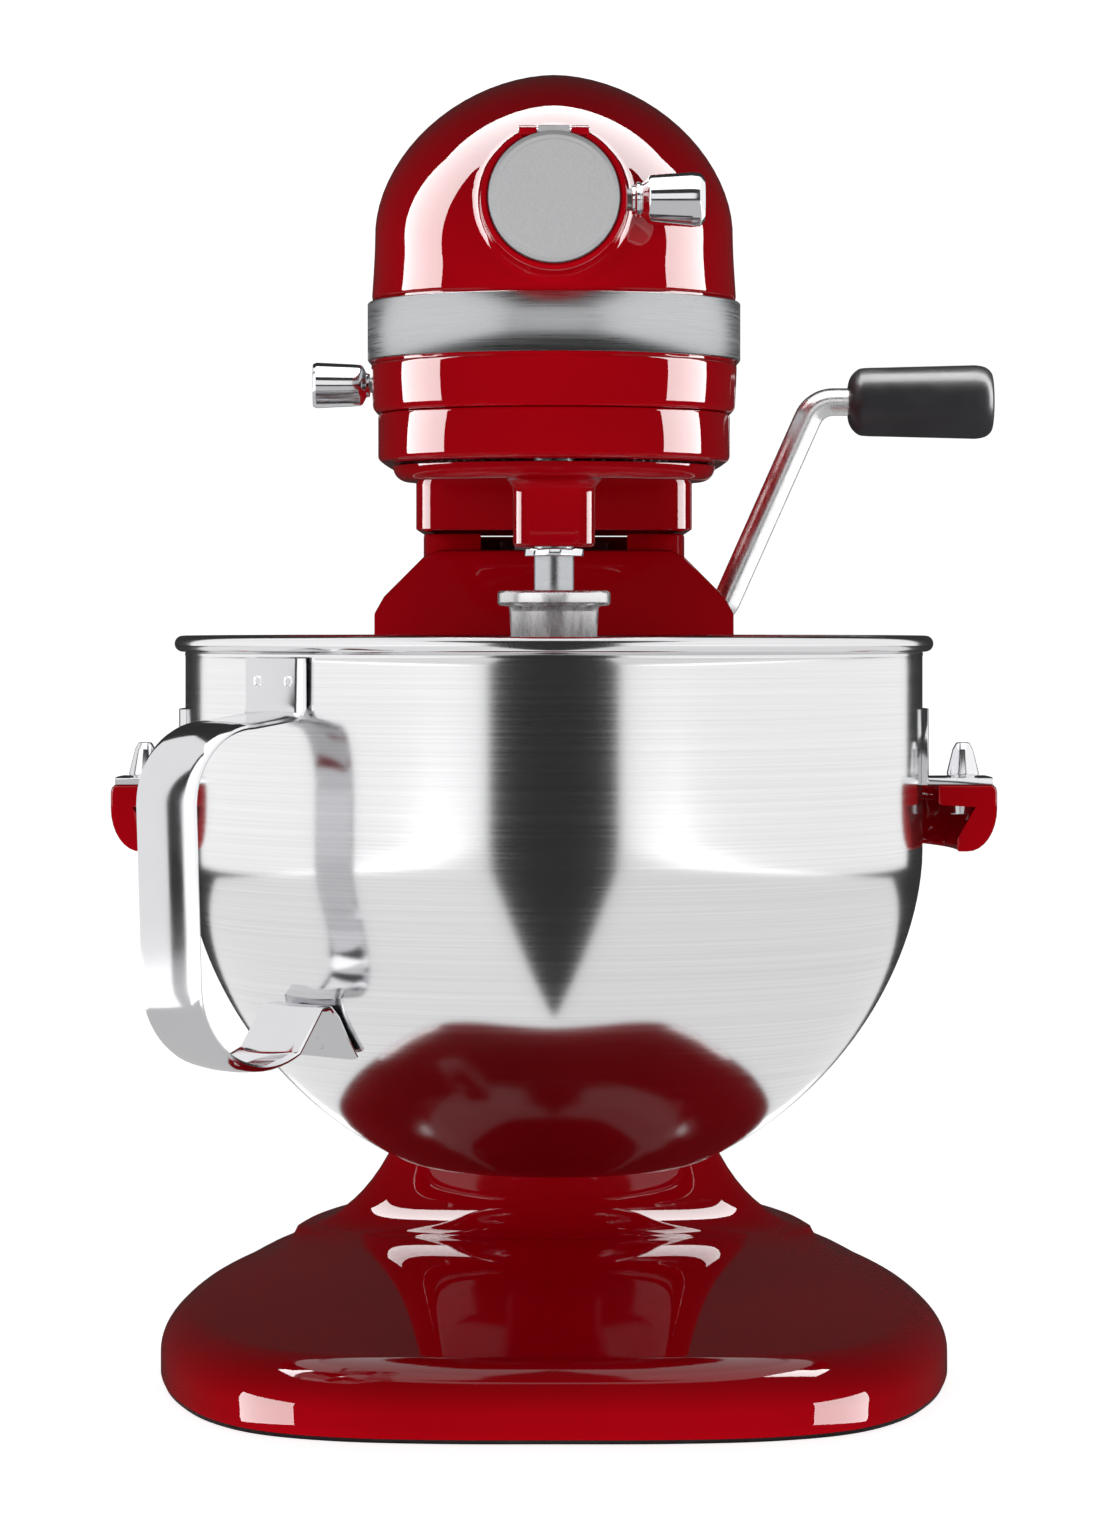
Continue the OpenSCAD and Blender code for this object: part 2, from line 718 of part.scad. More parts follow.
module intermediate_bearing() {
    color(bronze)
    translate([second_shaft[0], second_shaft[1], 303.1]) ring(14, 8.1, 9);
}
module intermediate_shaft() {
    color(steel)
    translate([second_shaft[0], second_shaft[1], 304]) cylinder(d = 8, h = 62);
}
module intermediate_pinion() {
    aim = atan2(second_shaft[1], second_shaft[0]);
    color(steel)
    translate([second_shaft[0], second_shaft[1], spur_z - 1])
    difference() {
        rotate(aim + 180 + 180 / pinion_teeth) gear(pinion_teeth, spur_m, 9);
        translate([0, 0, -1]) cylinder(d = 8.05, h = 14);
    }
}
wheel_teeth = 20;
worm_starts = 5;
worm_r = 7;
module worm_wheel() {
    lead_angle = atan2(worm_starts, worm_r);
    color(bronze)
    translate([second_shaft[0], second_shaft[1], worm_z - 6])
    difference() {
        linear_extrude(height = 12, twist = -12 * tan(lead_angle) / wheel_teeth * 57.3, slices = 5)
            polygon(gear_points(wheel_teeth, 17.6, wheel_teeth, 19.5, 0.4));
        translate([0, 0, -1]) cylinder(d = 8.05, h = 14);
    }
}
module motor_shaft() {
    color(steel)
    union() {
        translate([0, 57, worm_z]) rod_y(10, 115.5);
        translate([0, 57, worm_z]) rotate([90, 0, 0])
            linear_extrude(height = 24, twist = -24 / (2 * PI * worm_starts) * 360, slices = 14)
                polygon(gear_points(worm_starts, 4.9, 6, 6.9, 0.5));
    }
}
module motor_armature() {
    color(copper)
    translate([0, 0, worm_z])
    difference() {
        union() {
            translate([0, motor_y - 23, 0]) rod_y(49, 46);
            for (y = [motor_y - 30, motor_y + 22.9])
                translate([0, y, 0]) rod_y(38, 7.1);
            translate([0, motor_y + 29.9, 0]) rod_y(26, 15);
        }
        translate([0, 50, 0]) rod_y(10.05, 120);
    }
}
module motor_fan() {
    color("white")
    translate([0, motor_y + 50, worm_z]) rotate([-90, 0, 0])
    difference() {
        union() {
            cylinder(r = 10, h = 9);
            cylinder(r = 33, h = 1.5);
            for (a = [0 : 30 : 330])
                rotate(a) translate([8, -0.7, 0]) cube([24, 1.4, 8]);
        }
        translate([0, 0, -1]) cylinder(d = 10.05, h = 14);
    }
}
module motor_stator() {
    color("#70737a")
    translate([0, motor_y - 25, worm_z])
    difference() {
        rod_y(81, 50);
        translate([0, -1, 0]) rod_y(50.4, 52);
    }
}
module motor_windings() {
    color(copper)
    for (y = [motor_y - 34.3, motor_y + 25.3])
        translate([0, y, worm_z]) rotate([-90, 0, 0])
            rotate_extrude() translate([27.5, 0]) round_corner_box(9, 9);
}
module round_corner_box(w, d) translate([w / 2, d / 2]) round_rect(w, d, 3);
bracket_y = [65.2, 165];
bracket_t = 5;
module motor_brackets() {
    color("#8d9096")
    difference() {
        union() {
            for (y = bracket_y)
                intersection() {
                    translate([0, y, worm_z]) rod_y(96, bracket_t);
                    translate([-60, y - 1, split_z + head_wall + 0.1]) cube([120, 8, 120]);
                }
            translate([second_shaft[0] - 9, second_shaft[1] - 8, 361])
                cube([18, bracket_y[0] - second_shaft[1] + 9, 6]);
        }
        for (y = bracket_y)
            translate([0, y - 1, worm_z]) rod_y(22.1, 8);
        translate([second_shaft[0], second_shaft[1], 350]) cylinder(d = 8.1, h = 30);
        translate([0, 160, 322]) rod_y(4, 20);
    }
}
module motor_bearings() {
    color(steel)
    for (y = bracket_y)
        translate([0, y, worm_z])
            difference() {
                rod_y(22, bracket_t);
                translate([0, -1, 0]) rod_y(10.1, 8);
            }
}
module brush_holders() {
    color(bronze)
    for (s = [-1, 1])
        translate([s < 0 ? -42 : 13.3, motor_y + 38.4, worm_z])
            rod_x(8, 28.7);
}
module control_board() {
    color("#2f6b45")
    union() {
        translate([-30, 177, 334]) cube([60, 2, 48]);
        for (x = [-22, -8, 10])
            translate([x, 173.5, 345]) cube([9, 3.6, 12]);
        translate([14, 178.9, 362]) rod_y(10, 8);
    }
}

// ---- Speed control ----

module speed_lever() {
    color(steel)
    union() {
        translate([-74, lever_rest_y, knob_z]) rod_x(5, 24);
        translate([-53, lever_rest_y - 10, knob_z - 5]) cube([6, 20, 10]);
        translate([-48, lever_rest_y, knob_z]) rod_y(3, 100);
    }
}
module speed_knob() {
    color(bright)
    translate([-62.2, lever_rest_y, knob_z]) rotate([0, -90, 0])
    difference() {
        rotate_extrude()
            polygon([[0, 0], [3.9, 0], [4.2, 1], [6.2, 2.2], [7, 4.6], [7.2, 8], [7.7, 18.2], [7.3, 19.1],
                [0, 19.3]]);
        translate([0, 0, -past]) cylinder(d = 5.05, h = 12.3);
    }
}

// ---- Bowl lift ----

lever_rod = 10;
lever_bend = 10;
lever_lean = 24;
grip_z = lever_z + 77;
grip_x = 105.6;
// Centre line of the lever's rod in XZ: out of the column, up with a lean, then out into the grip
function lever_line() = let (
        turn = 90 - lever_lean,
        low = [53, lever_z + lever_bend],
        rise = (grip_z - lever_z - 2 * lever_bend * (1 - cos(turn))) / sin(turn),
        high = low + [2 * lever_bend * sin(turn) + rise * cos(turn), grip_z - lever_z - 2 * lever_bend])
    concat([[50, lever_z]],
        [for (a = [0 : 14 : turn]) low + lever_bend * [sin(a), -cos(a)]],
        [for (a = [turn : -14 : 0]) high + lever_bend * [-sin(a), cos(a)]],
        [[grip_x + 40, grip_z]]);
// Round rod of diameter d along points p of the plane Y = y
module bent_rod(p, y, d, sides = 16) {
    loft([for (i = [0 : len(p) - 1])
        let (v = p[min(i + 1, len(p) - 1)] - p[max(i - 1, 0)], n = [-v[1], v[0]] / norm(v))
        [for (k = [0 : sides - 1])
            let (a = -k * 360 / sides, c = d / 2 * cos(a), s = d / 2 * sin(a))
            [p[i][0] + n[0] * c, y + s, p[i][1] + n[1] * c]]]);
}
module lift_lever() {
    color(bright) bent_rod(lever_line(), lever_y, lever_rod);
}
module lift_shaft() {
    color(steel)
    union() {
        translate([-4.5, lever_y, lever_z]) rod_x(12, 54.4);
        translate([-4.5, lever_y, lever_z]) rotate([lever_turn / 2, 0, 0]) rotate([0, 90, 0])
            linear_extrude(height = 8) {
                circle(9);
                translate([0, crank_r]) circle(7);
                translate([-7, 0]) square([14, crank_r]);
            }
        translate([-18, crank_pin[1], crank_pin[2]]) rod_x(8, 14);
        translate([-18, crank_pin[1], crank_pin[2]]) rod_x(11, 2.8);
    }
}
module lever_grip() {
    color(black)
    translate([grip_x, lever_y, grip_z]) rotate([0, 90, 0])
    difference() {
        rotate_extrude()
            polygon(concat([[0, 0]], [for (a = [0 : 15 : 90]) [5.2 + 7 * sin(a), 5.5 * (1 - cos(a))]],
                [[13.2, 46]], [for (a = [15 : 15 : 90]) [10.2 + 3 * cos(a), 46 + 6 * sin(a)]], [[0, 52]]));
        translate([0, 0, -past]) cylinder(d = lever_rod + 0.05, h = 45);
    }
}
module lift_link() {
    z = crank_pin[2];
    slot_z = 10.5;
    color(steel)
    difference() {
        union() {
            translate([-14, plate_y1 + 0.1, z - 12]) cube([7.8, 54, 24]);
            translate([-24, plate_y1 + 0.1, z - 20]) cube([28, 4, 26]);
        }
        translate([-30, lever_y + 8, z - slot_z / 2]) cube([40, 20, slot_z]);
        translate([-30, lever_y + 8, z]) rod_x(slot_z, 40);
        translate([-30, lever_y + 28, z]) rod_x(slot_z, 40);
    }
}
arm_foot = 166;
arm_round = [9.5, 14];
plate_foot = 163;
module bowl_support() {
    color(enamel)
    difference() {
        union() {
            rotate([0, 0, -5.2]) rotate_extrude(angle = 190.4)
                polygon(concat([[arm_in, arm_top - 6], [arm_in, arm_top], [arm_half - 1.5, arm_top],
                    [arm_half, arm_top - 1.5]],
                    [for (a = [0 : 22.5 : 90])
                        [arm_half + arm_round[0] * (cos(a) - 1), arm_foot + arm_round[1] * (1 - sin(a))]],
                    [[arm_half - 13, arm_foot], [arm_half - 13, arm_foot + 3.5],
                        [arm_half - 6, arm_top - 6]]));
            translate([0, plate_y1, 0]) rotate([90, 0, 0]) linear_extrude(height = plate_y1 - plate_y0)
                polygon([[-60, plate_foot], [60, plate_foot], [63.4, plate_foot + 4], [63.4, 243], [60, 249],
                    [46, 263], [41, 265.4], [-41, 265.4], [-46, 263], [-60, 249], [-63.4, 243],
                    [-63.4, plate_foot + 4]]);
        }
        translate([-200, plate_y1, 100]) cube([400, 60, 200]);
        for (x = [-rail_x, rail_x])
            translate([x - rail_w / 2 - 0.4, column_front - 5.5, 100]) cube([rail_w + 0.8, 20, 200]);
        for (s = [-1, 1])
            translate([s * 132.8, 0, arm_top - 12]) cylinder(d = 8.05, h = 20);
    }
}
module locating_pins() {
    color(bright)
    for (s = [-1, 1])
        translate([s * 132.8, 0, 0]) {
            translate([0, 0, arm_top - 10]) cylinder(d = 8, h = 12.6);
            translate([0, 0, arm_top + 2.5]) cylinder(d1 = 10.4, d2 = 6.5, h = 8.8);
            translate([0, 0, arm_top + 11.3]) cylinder(d1 = 6.5, d2 = 4, h = 2);
        }
}
module bowl_latch() {
    color(steel)
    union() {
        translate([-14, plate_y0 - 1.3, 192]) cube([28, 1.2, 24]);
        translate([-9, plate_y0 - 5.2, 206.4]) cube([18, 4, 1.2]);
    }
}

// ---- Bowl ----

module bowl() {
    outer = concat([[0, bowl_bottom], [44, bowl_bottom], [46.5, bowl_bottom + 0.4]],
        [for (t = [0.03, 0.1, 0.19, 0.29, 0.39, 0.5, 0.61, 0.73, 0.86, 1])
            let (z = mix(bowl_bottom, wall_foot, t)) [bowl_out(z), z]],
        [[bowl_r, bowl_top - 4]]);
    inner = [for (i = [len(outer) - 1 : -1 : 0])
        let (p = outer[i], t = (p[1] - bowl_bottom) / (wall_foot - bowl_bottom),
            lean = t >= 1 ? 0 : 90 * pow(1 - t, 0.62))
        [max(0, p[0] - bowl_wall * cos(lean) * (p[0] > 0 ? 1 : 0)), p[1] + bowl_wall * sin(lean)]];
    color(steel)
    rotate_extrude($fn = 96) {
        polygon(concat(outer, inner));
        translate([bowl_r + 3.5 - rim_r, bowl_top - rim_r]) circle(rim_r);
        translate([bowl_r - bowl_wall, bowl_top - 5]) square([2.5, 3]);
    }
}
strap_w = 27;
strap_t = 2.2;
// Centre line of the handle strap in the plane of the bowl's axis
function handle_line() = let (r = handle_reach - strap_t / 2)
    concat([[bowl_r + 1.3, 229], [bowl_r + 1.3, 214.5], [bowl_r + 2.6, 212], [bowl_r + 6, 211]],
        [for (a = [90 : -15 : 0]) [r - 24 + 24 * cos(a), 185 + 24 * sin(a)]],
        [for (a = [0 : -15 : -120]) [r - 29 + 27 * cos(a), 132 + 27 * sin(a)]],
        [[bowl_out(121) + 6.5, 121.4], [bowl_out(121) + 3, 121.6], [bowl_out(118) + 1.6, 118.5],
            [bowl_out(112) + 1.5, 112], [bowl_out(106) + 1.5, 106]]);
// Points of line p moved d to its left
function offset_line(p, d) = [
    for (i = [0 : len(p) - 1])
        let (v = p[min(i + 1, len(p) - 1)] - p[max(i - 1, 0)], u = v / norm(v))
        p[i] + d * [-u[1], u[0]]
];
module bowl_handle() {
    line = handle_line();
    back = offset_line(line, -strap_t / 2);
    color(bright)
    rotate([0, 0, 225]) rotate([90, 0, 0]) translate([0, 0, -strap_w / 2])
        linear_extrude(height = strap_w)
            polygon(concat(offset_line(line, strap_t / 2), [for (i = [len(back) - 1 : -1 : 0]) back[i]]));
}
module arc_plate(r0, r1, z0, z1, half, at) {
    rotate([0, 0, at - half]) rotate_extrude(angle = 2 * half)
        polygon([[r0, z0], [r1, z0], [r1, z1], [r0, z1]]);
}
module bowl_brackets() {
    color(bright)
    difference() {
        for (at = [0, 180]) {
            arc_plate(bowl_r + 0.05, bowl_r + 2, arm_top + 0.1, 212, 9, at);
            arc_plate(bowl_r + 1, 142, arm_top + 0.1, arm_top + 2.1, 6, at);
        }
        for (s = [-1, 1])
            translate([s * 132.8, 0, 180]) cylinder(d = 8.6, h = 20);
    }
}
module bowl_latch_hook() {
    color(bright)
    union() {
        arc_plate(bowl_r + 0.05, bowl_r + 1.6, 194, 214, 7, 90);
        arc_plate(bowl_r + 1, bowl_r + 5.2, 203.6, 205.6, 4, 90);
    }
}

pedestal();
bottom_plate();
bottom_screws();
rubber_feet();
mains_inlet();
guide_rails();
rail_screws();
lift_shaft_bush();
head_housing();
lower_gearcase();
gearcase_screws();
rear_cover();
rear_cover_screw();
trim_band();
hub_sleeve();
hub_bearing_housing();
hub_shaft_bush();
ring_gear();
planetary_bearing();
motor_stator();
motor_windings();
motor_brackets();
motor_bearings();
brush_holders();
control_board();
intermediate_bearing();
planetary_housing();
planetary_shaft();
centre_spur_gear();
centre_bevel_gear();
beater_bushes();
beater_shaft();
planet_pinion();
beater_washer();
flat_beater();
intermediate_shaft();
intermediate_pinion();
worm_wheel();
motor_shaft();
motor_armature();
motor_fan();
hub_drive_shaft();
hub_bevel_gear();
hub_cover();
hub_cover_pin();
clamp_screw();
clamp_knob();
speed_lever();
speed_knob();
lift_shaft();
lift_lever();
lever_grip();
bowl_support();
locating_pins();
bowl_latch();
lift_link();
bowl();
bowl_handle();
bowl_brackets();
bowl_latch_hook();
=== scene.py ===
"""Looks of the bowl-lift stand mixer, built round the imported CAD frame. Lengths are in millimetres
until make_mesh turns them into metres."""
import json
import math

import bmesh
import bpy
import numpy as np
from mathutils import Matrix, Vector


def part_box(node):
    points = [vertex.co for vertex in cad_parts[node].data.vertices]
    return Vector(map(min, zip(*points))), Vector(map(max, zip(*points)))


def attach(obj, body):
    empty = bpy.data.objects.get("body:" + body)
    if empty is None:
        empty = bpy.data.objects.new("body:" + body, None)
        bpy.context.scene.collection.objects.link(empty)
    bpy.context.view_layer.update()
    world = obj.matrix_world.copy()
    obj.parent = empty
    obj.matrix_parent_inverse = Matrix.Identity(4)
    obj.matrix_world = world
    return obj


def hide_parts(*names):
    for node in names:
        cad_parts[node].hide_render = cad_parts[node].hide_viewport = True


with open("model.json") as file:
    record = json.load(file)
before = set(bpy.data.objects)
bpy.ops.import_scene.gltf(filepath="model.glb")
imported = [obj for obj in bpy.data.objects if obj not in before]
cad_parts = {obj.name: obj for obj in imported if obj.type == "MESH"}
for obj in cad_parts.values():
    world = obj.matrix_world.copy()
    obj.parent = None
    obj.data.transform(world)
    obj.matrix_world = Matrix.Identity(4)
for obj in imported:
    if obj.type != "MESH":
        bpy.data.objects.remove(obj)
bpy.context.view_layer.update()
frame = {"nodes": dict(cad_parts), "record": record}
nodes = frame["nodes"]
MM = 0.001


# ---- Camera ----

CAMERA_DISTANCE = 1.5
EYE_HEIGHT = 0.2407
LENS = 108.75
SHIFT_Y = -0.0942


def add_camera():
    cam = bpy.data.cameras.new("camera")
    cam.lens = LENS
    cam.sensor_width = 36
    cam.sensor_fit = "AUTO"
    cam.shift_y = SHIFT_Y
    cam.clip_start = 0.05
    obj = bpy.data.objects.new("camera", cam)
    obj.location = (0, -CAMERA_DISTANCE, EYE_HEIGHT)
    obj.rotation_euler = (math.radians(90), 0, 0)
    bpy.context.scene.collection.objects.link(obj)
    bpy.context.scene.camera = obj


# ---- Node-based materials ----

def new_material(name):
    mat = bpy.data.materials.new(name)
    mat.use_nodes = True
    tree = mat.node_tree
    return mat, tree, tree.nodes["Principled BSDF"]


def link(tree, a, b):
    tree.links.new(a, b)


def set_inputs(node, values):
    for name, value in values.items():
        node.inputs[name].default_value = value


def noise(tree, scale, detail=3.0, roughness=0.5, stretch=None):
    """Noise over object space, in cycles per metre; stretch scales each axis first."""
    tex = tree.nodes.new("ShaderNodeTexNoise")
    set_inputs(tex, {"Scale": scale, "Detail": detail, "Roughness": roughness})
    where = tree.nodes.new("ShaderNodeTexCoord").outputs["Object"]
    if stretch:
        mapping = tree.nodes.new("ShaderNodeMapping")
        mapping.inputs["Scale"].default_value = stretch
        link(tree, where, mapping.inputs["Vector"])
        where = mapping.outputs["Vector"]
    link(tree, where, tex.inputs["Vector"])
    return tex.outputs["Fac"]


def remap(tree, value, low, high, from_low=0.3, from_high=0.7):
    node = tree.nodes.new("ShaderNodeMapRange")
    set_inputs(node, {"From Min": from_low, "From Max": from_high, "To Min": low, "To Max": high})
    link(tree, value, node.inputs["Value"])
    return node.outputs["Result"]


def colour_ramp(tree, value, stops):
    node = tree.nodes.new("ShaderNodeValToRGB")
    ramp = node.color_ramp
    while len(ramp.elements) < len(stops):
        ramp.elements.new(0.5)
    for element, (at, colour) in zip(ramp.elements, stops):
        element.position = at
        element.color = (*colour, 1)
    link(tree, value, node.inputs["Fac"])
    return node.outputs["Color"]


def bump(tree, bsdf, height, strength, distance):
    node = tree.nodes.new("ShaderNodeBump")
    set_inputs(node, {"Strength": strength, "Distance": distance})
    link(tree, height, node.inputs["Height"])
    link(tree, node.outputs["Normal"], bsdf.inputs["Normal"])


def enamel(name, tint, deep):
    """Baked gloss enamel: a clear coat over a slightly uneven colour, with faint orange peel."""
    mat, tree, bsdf = new_material(name)
    cloud = noise(tree, 9, 2)
    link(tree, colour_ramp(tree, cloud, [(0.35, deep), (0.65, tint)]), bsdf.inputs["Base Color"])
    link(tree, remap(tree, noise(tree, 60, 3), 0.45, 0.55), bsdf.inputs["Roughness"])
    coat = {"Coat Weight": 1.0, "Coat Roughness": 0.012, "Coat IOR": 1.5}
    set_inputs(bsdf, {"Specular IOR Level": 0.0, **coat})
    bump(tree, bsdf, noise(tree, 220, 2), 0.02, 0.0001)
    return mat


def metal(name, colour, rough, grain=None, grain_scale=1.0, grain_depth=0.0, spread=0.08, anisotropic=0.0):
    """Metal whose roughness and tone vary; grain stretches the noise into brushing or turning marks."""
    mat, tree, bsdf = new_material(name)
    bsdf.inputs["Metallic"].default_value = 1.0
    dark = tuple(c * (1 - spread) for c in colour)
    marks = noise(tree, 1000 * grain_scale if grain else 40, 4, 0.6, grain)
    link(tree, colour_ramp(tree, marks, [(0.3, dark), (0.7, colour)]), bsdf.inputs["Base Color"])
    link(tree, remap(tree, marks, rough * 0.8, rough * 1.25), bsdf.inputs["Roughness"])
    bsdf.inputs["Anisotropic"].default_value = anisotropic
    if grain_depth:
        bump(tree, bsdf, marks, 0.35, grain_depth)
    return mat


def plastic(name, colour, rough, grain=900, depth=0.00008, coat=0.0):
    """Moulded plastic or rubber with a fine even grain and slight wear in its tone."""
    mat, tree, bsdf = new_material(name)
    light = tuple(min(1, c * 1.35 + 0.004) for c in colour)
    tone = colour_ramp(tree, noise(tree, 30, 3), [(0.3, colour), (0.75, light)])
    link(tree, tone, bsdf.inputs["Base Color"])
    link(tree, remap(tree, noise(tree, 120, 2), rough * 0.9, rough * 1.1), bsdf.inputs["Roughness"])
    bsdf.inputs["Coat Weight"].default_value = coat
    bump(tree, bsdf, noise(tree, grain, 2), 0.25, depth)
    return mat


# ---- Mesh helpers, which take millimetres ----

def place(obj):
    bpy.context.scene.collection.objects.link(obj)
    return obj


def shade(obj, angle=32):
    obj.data.shade_smooth()
    obj.data.set_sharp_from_angle(angle=math.radians(angle))
    return obj


def make_mesh(name, verts, faces, angle=32):
    """Object from points in millimetres: doubles merged, normals outward, smooth except at sharp edges."""
    mesh = bpy.data.meshes.new(name)
    mesh.from_pydata([tuple(c * MM for c in v) for v in verts], [], faces)
    bm = bmesh.new()
    bm.from_mesh(mesh)
    bmesh.ops.remove_doubles(bm, verts=bm.verts, dist=2e-6)
    bmesh.ops.recalc_face_normals(bm, faces=bm.faces)
    bm.to_mesh(mesh)
    bm.free()
    return shade(place(bpy.data.objects.new(name, mesh)), angle)


def loft(name, rings, wrap=False, angle=32):
    """Skin over closed rings of equal length; open ends are capped unless the rings wrap round."""
    n = len(rings[0])
    m = len(rings)
    faces = [
        (k * n + i, k * n + (i + 1) % n, (k + 1) % m * n + (i + 1) % n, (k + 1) % m * n + i)
        for k in range(m if wrap else m - 1)
        for i in range(n)
    ]
    if not wrap:
        faces += [tuple(range(n)), tuple((m - 1) * n + i for i in range(n))]
    return make_mesh(name, [p for ring in rings for p in ring], faces, angle)


def fillet(corners, steps=5):
    """Outline from (x, y, radius) corners: each corner with a radius becomes an arc."""
    out = []
    count = len(corners)
    for i, corner in enumerate(corners):
        p = Vector(corner[:2])
        radius = corner[2] if len(corner) > 2 else 0
        if not radius:
            out.append(tuple(p))
            continue
        a = (Vector(corners[i - 1][:2]) - p).normalized()
        b = (Vector(corners[(i + 1) % count][:2]) - p).normalized()
        half = a.angle(b) / 2
        reach = radius / math.tan(half)
        centre = p + (a + b).normalized() * radius / math.sin(half)
        start = p + a * reach - centre
        end = p + b * reach - centre
        turn = start.angle_signed(end)
        for k in range(steps + 1):
            c, s = math.cos(-turn * k / steps), math.sin(-turn * k / steps)
            out.append((centre.x + start.x * c - start.y * s, centre.y + start.x * s + start.y * c))
    return out


AXES = {
    "Z": lambda r, h, a: (r * math.cos(a), r * math.sin(a), h),
    "Y": lambda r, h, a: (r * math.cos(a), h, r * math.sin(a)),
    "X": lambda r, h, a: (h, r * math.cos(a), r * math.sin(a)),
}


def lathe(name, outline, centre=(0, 0, 0), axis="Z", segments=96, angle=32):
    """Turned solid from a closed outline of (radius, height) about an axis through centre."""
    rings = []
    for k in range(segments):
        a = 2 * math.pi * k / segments
        spin = [AXES[axis](r, h, a) for r, h in outline]
        rings.append([tuple(c + p for c, p in zip(centre, point)) for point in spin])
    return loft(name, rings, wrap=True, angle=angle)


def catmull(points, steps, closed=False):
    """Catmull-Rom curve through points of any dimension."""
    pts = [np.array(p, float) for p in points]
    count = len(pts)
    out = []
    for i in range(count if closed else count - 1):
        if closed:
            a, b, c, d = (pts[(i + k) % count] for k in (-1, 0, 1, 2))
        else:
            a, b, c, d = pts[max(i - 1, 0)], pts[i], pts[i + 1], pts[min(i + 2, count - 1)]
        for k in range(steps):
            t = k / steps
            out.append(0.5 * (2 * b + (c - a) * t + (2 * a - 5 * b + 4 * c - d) * t * t
                              + (3 * b - a - 3 * c + d) * t ** 3))
    if not closed:
        out.append(pts[-1])
    return out


def bake(obj):
    """Applies the modifiers of a piece of this script's own."""
    graph = bpy.context.evaluated_depsgraph_get()
    mesh = bpy.data.meshes.new_from_object(obj.evaluated_get(graph))
    obj.modifiers.clear()
    obj.data = mesh
    return obj


def cut(obj, *tools, operation="DIFFERENCE", angle=32):
    for tool in tools:
        mod = obj.modifiers.new("cut", "BOOLEAN")
        mod.operation = operation
        mod.solver = "EXACT"
        mod.object = tool
        bake(obj)
        bpy.data.objects.remove(tool)
    return shade(obj, angle)


def soften(obj, width, segments=3, limit=35):
    """Rounds sharp edges: a bevel after the CAD faces are welded together."""
    weld = obj.modifiers.new("weld", "WELD")
    weld.merge_threshold = 2e-6
    bevel = obj.modifiers.new("bevel", "BEVEL")
    bevel.width = width * MM
    bevel.segments = segments
    bevel.limit_method = "ANGLE"
    bevel.angle_limit = math.radians(limit)
    bevel.harden_normals = True
    bevel.use_clamp_overlap = True
    return obj


def block(name, low, high, radius=0.0):
    """Box between two corners, its edges rounded by radius."""
    (x0, y0, z0), (x1, y1, z1) = low, high
    rings = [[(x, y, z) for x, y in ((x0, y0), (x1, y0), (x1, y1), (x0, y1))] for z in (z0, z1)]
    obj = loft(name, rings)
    if radius:
        bake(soften(obj, radius, 4))
        shade(obj)
    return obj


def rod(name, radius, start, length, axis="Z", segments=64):
    index = "XYZ".index(axis)
    low = start[index]
    centre = tuple(0 if i == index else c for i, c in enumerate(start))
    high = low + length
    return lathe(name, [(0, low), (radius, low), (radius, high), (0, high)], centre, axis, segments)


def finish_piece(obj, material, body, *stands_for, slot=None):
    obj.data.materials.clear()
    obj.data.materials.append(material)
    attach(obj, body)
    if stands_for:
        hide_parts(*stands_for)
    return obj


# ---- Driving sizes, in millimetres, read off the frame ----

def corners(node):
    low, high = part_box(node)
    return [c / MM for c in low], [c / MM for c in high]


def middle(node):
    """Middle of a CAD node's box along Y and Z."""
    low, high = corners(node)
    return (low[1] + high[1]) / 2, (low[2] + high[2]) / 2


band_low, band_high = corners("trim_band")
BAND_PROUD = 1.0
HEAD_HALF = band_high[0] - BAND_PROUD
HEAD_TOP = corners("head_housing")[1][2]
CASE_LOW, CASE_HIGH = corners("lower_gearcase")
SPLIT_Z = round(CASE_HIGH[2] + 0.1, 2)
SPRING_Z = SPLIT_Z + 59
NOSE_LEN = 62
HEAD_FRONT = band_low[1] - 0.7 + BAND_PROUD
NOSE_Y = HEAD_FRONT + NOSE_LEN
CROWN_Y = 20
CROWN_DROP = 67
COVER_REAR = corners("rear_cover")[1][1]
HEAD_REAR = band_high[1] + 0.5
HEAD_WALL = 4
HUB_Z = middle("hub_sleeve")[1]
BOSS_FACE = corners("hub_sleeve")[0][1] - 0.2
BOSS_R = 22.5
BOWL_LOW, BOWL_HIGH = corners("bowl")
RIM_PROUD = 3.5
BOWL_R = BOWL_HIGH[0] - RIM_PROUD
BOWL_TOP = BOWL_HIGH[2]
BOWL_BOTTOM = BOWL_LOW[2]
WALL_FOOT = BOWL_TOP - 69.7
SHEET_T = 1.4
RIM_R = 2.6
SUPPORT_LOW, SUPPORT_HIGH = corners("bowl_support")
ARM_IN = 124.3
ARM_OUT = SUPPORT_HIGH[0]
ARM_TOP = corners("bowl_brackets")[0][2] - 0.1
ARM_FOOT = ARM_TOP - 21.7
PLATE_Y = (127.5, SUPPORT_HIGH[1])
CASTING_LOW, CASTING_HIGH = corners("pedestal")


# ---- Head ----

def head_width(y):
    if y < NOSE_Y:
        return HEAD_HALF * math.sqrt(max(0, 1 - ((NOSE_Y - y) / NOSE_LEN) ** 2))
    return HEAD_HALF - 0.00016 * (y - NOSE_Y) ** 2


def head_crown(y):
    if y < CROWN_Y:
        run = min(1, (CROWN_Y - y) / (CROWN_Y - HEAD_FRONT))
        return HEAD_TOP - CROWN_DROP * (1 - max(0, 1 - run ** 2.6) ** (1 / 2.6))
    return HEAD_TOP - 0.00025 * (y - CROWN_Y) ** 2


SIDE_Z = 333
SHOULDER_IN = 1.42
ARCH_POWER = 1.85


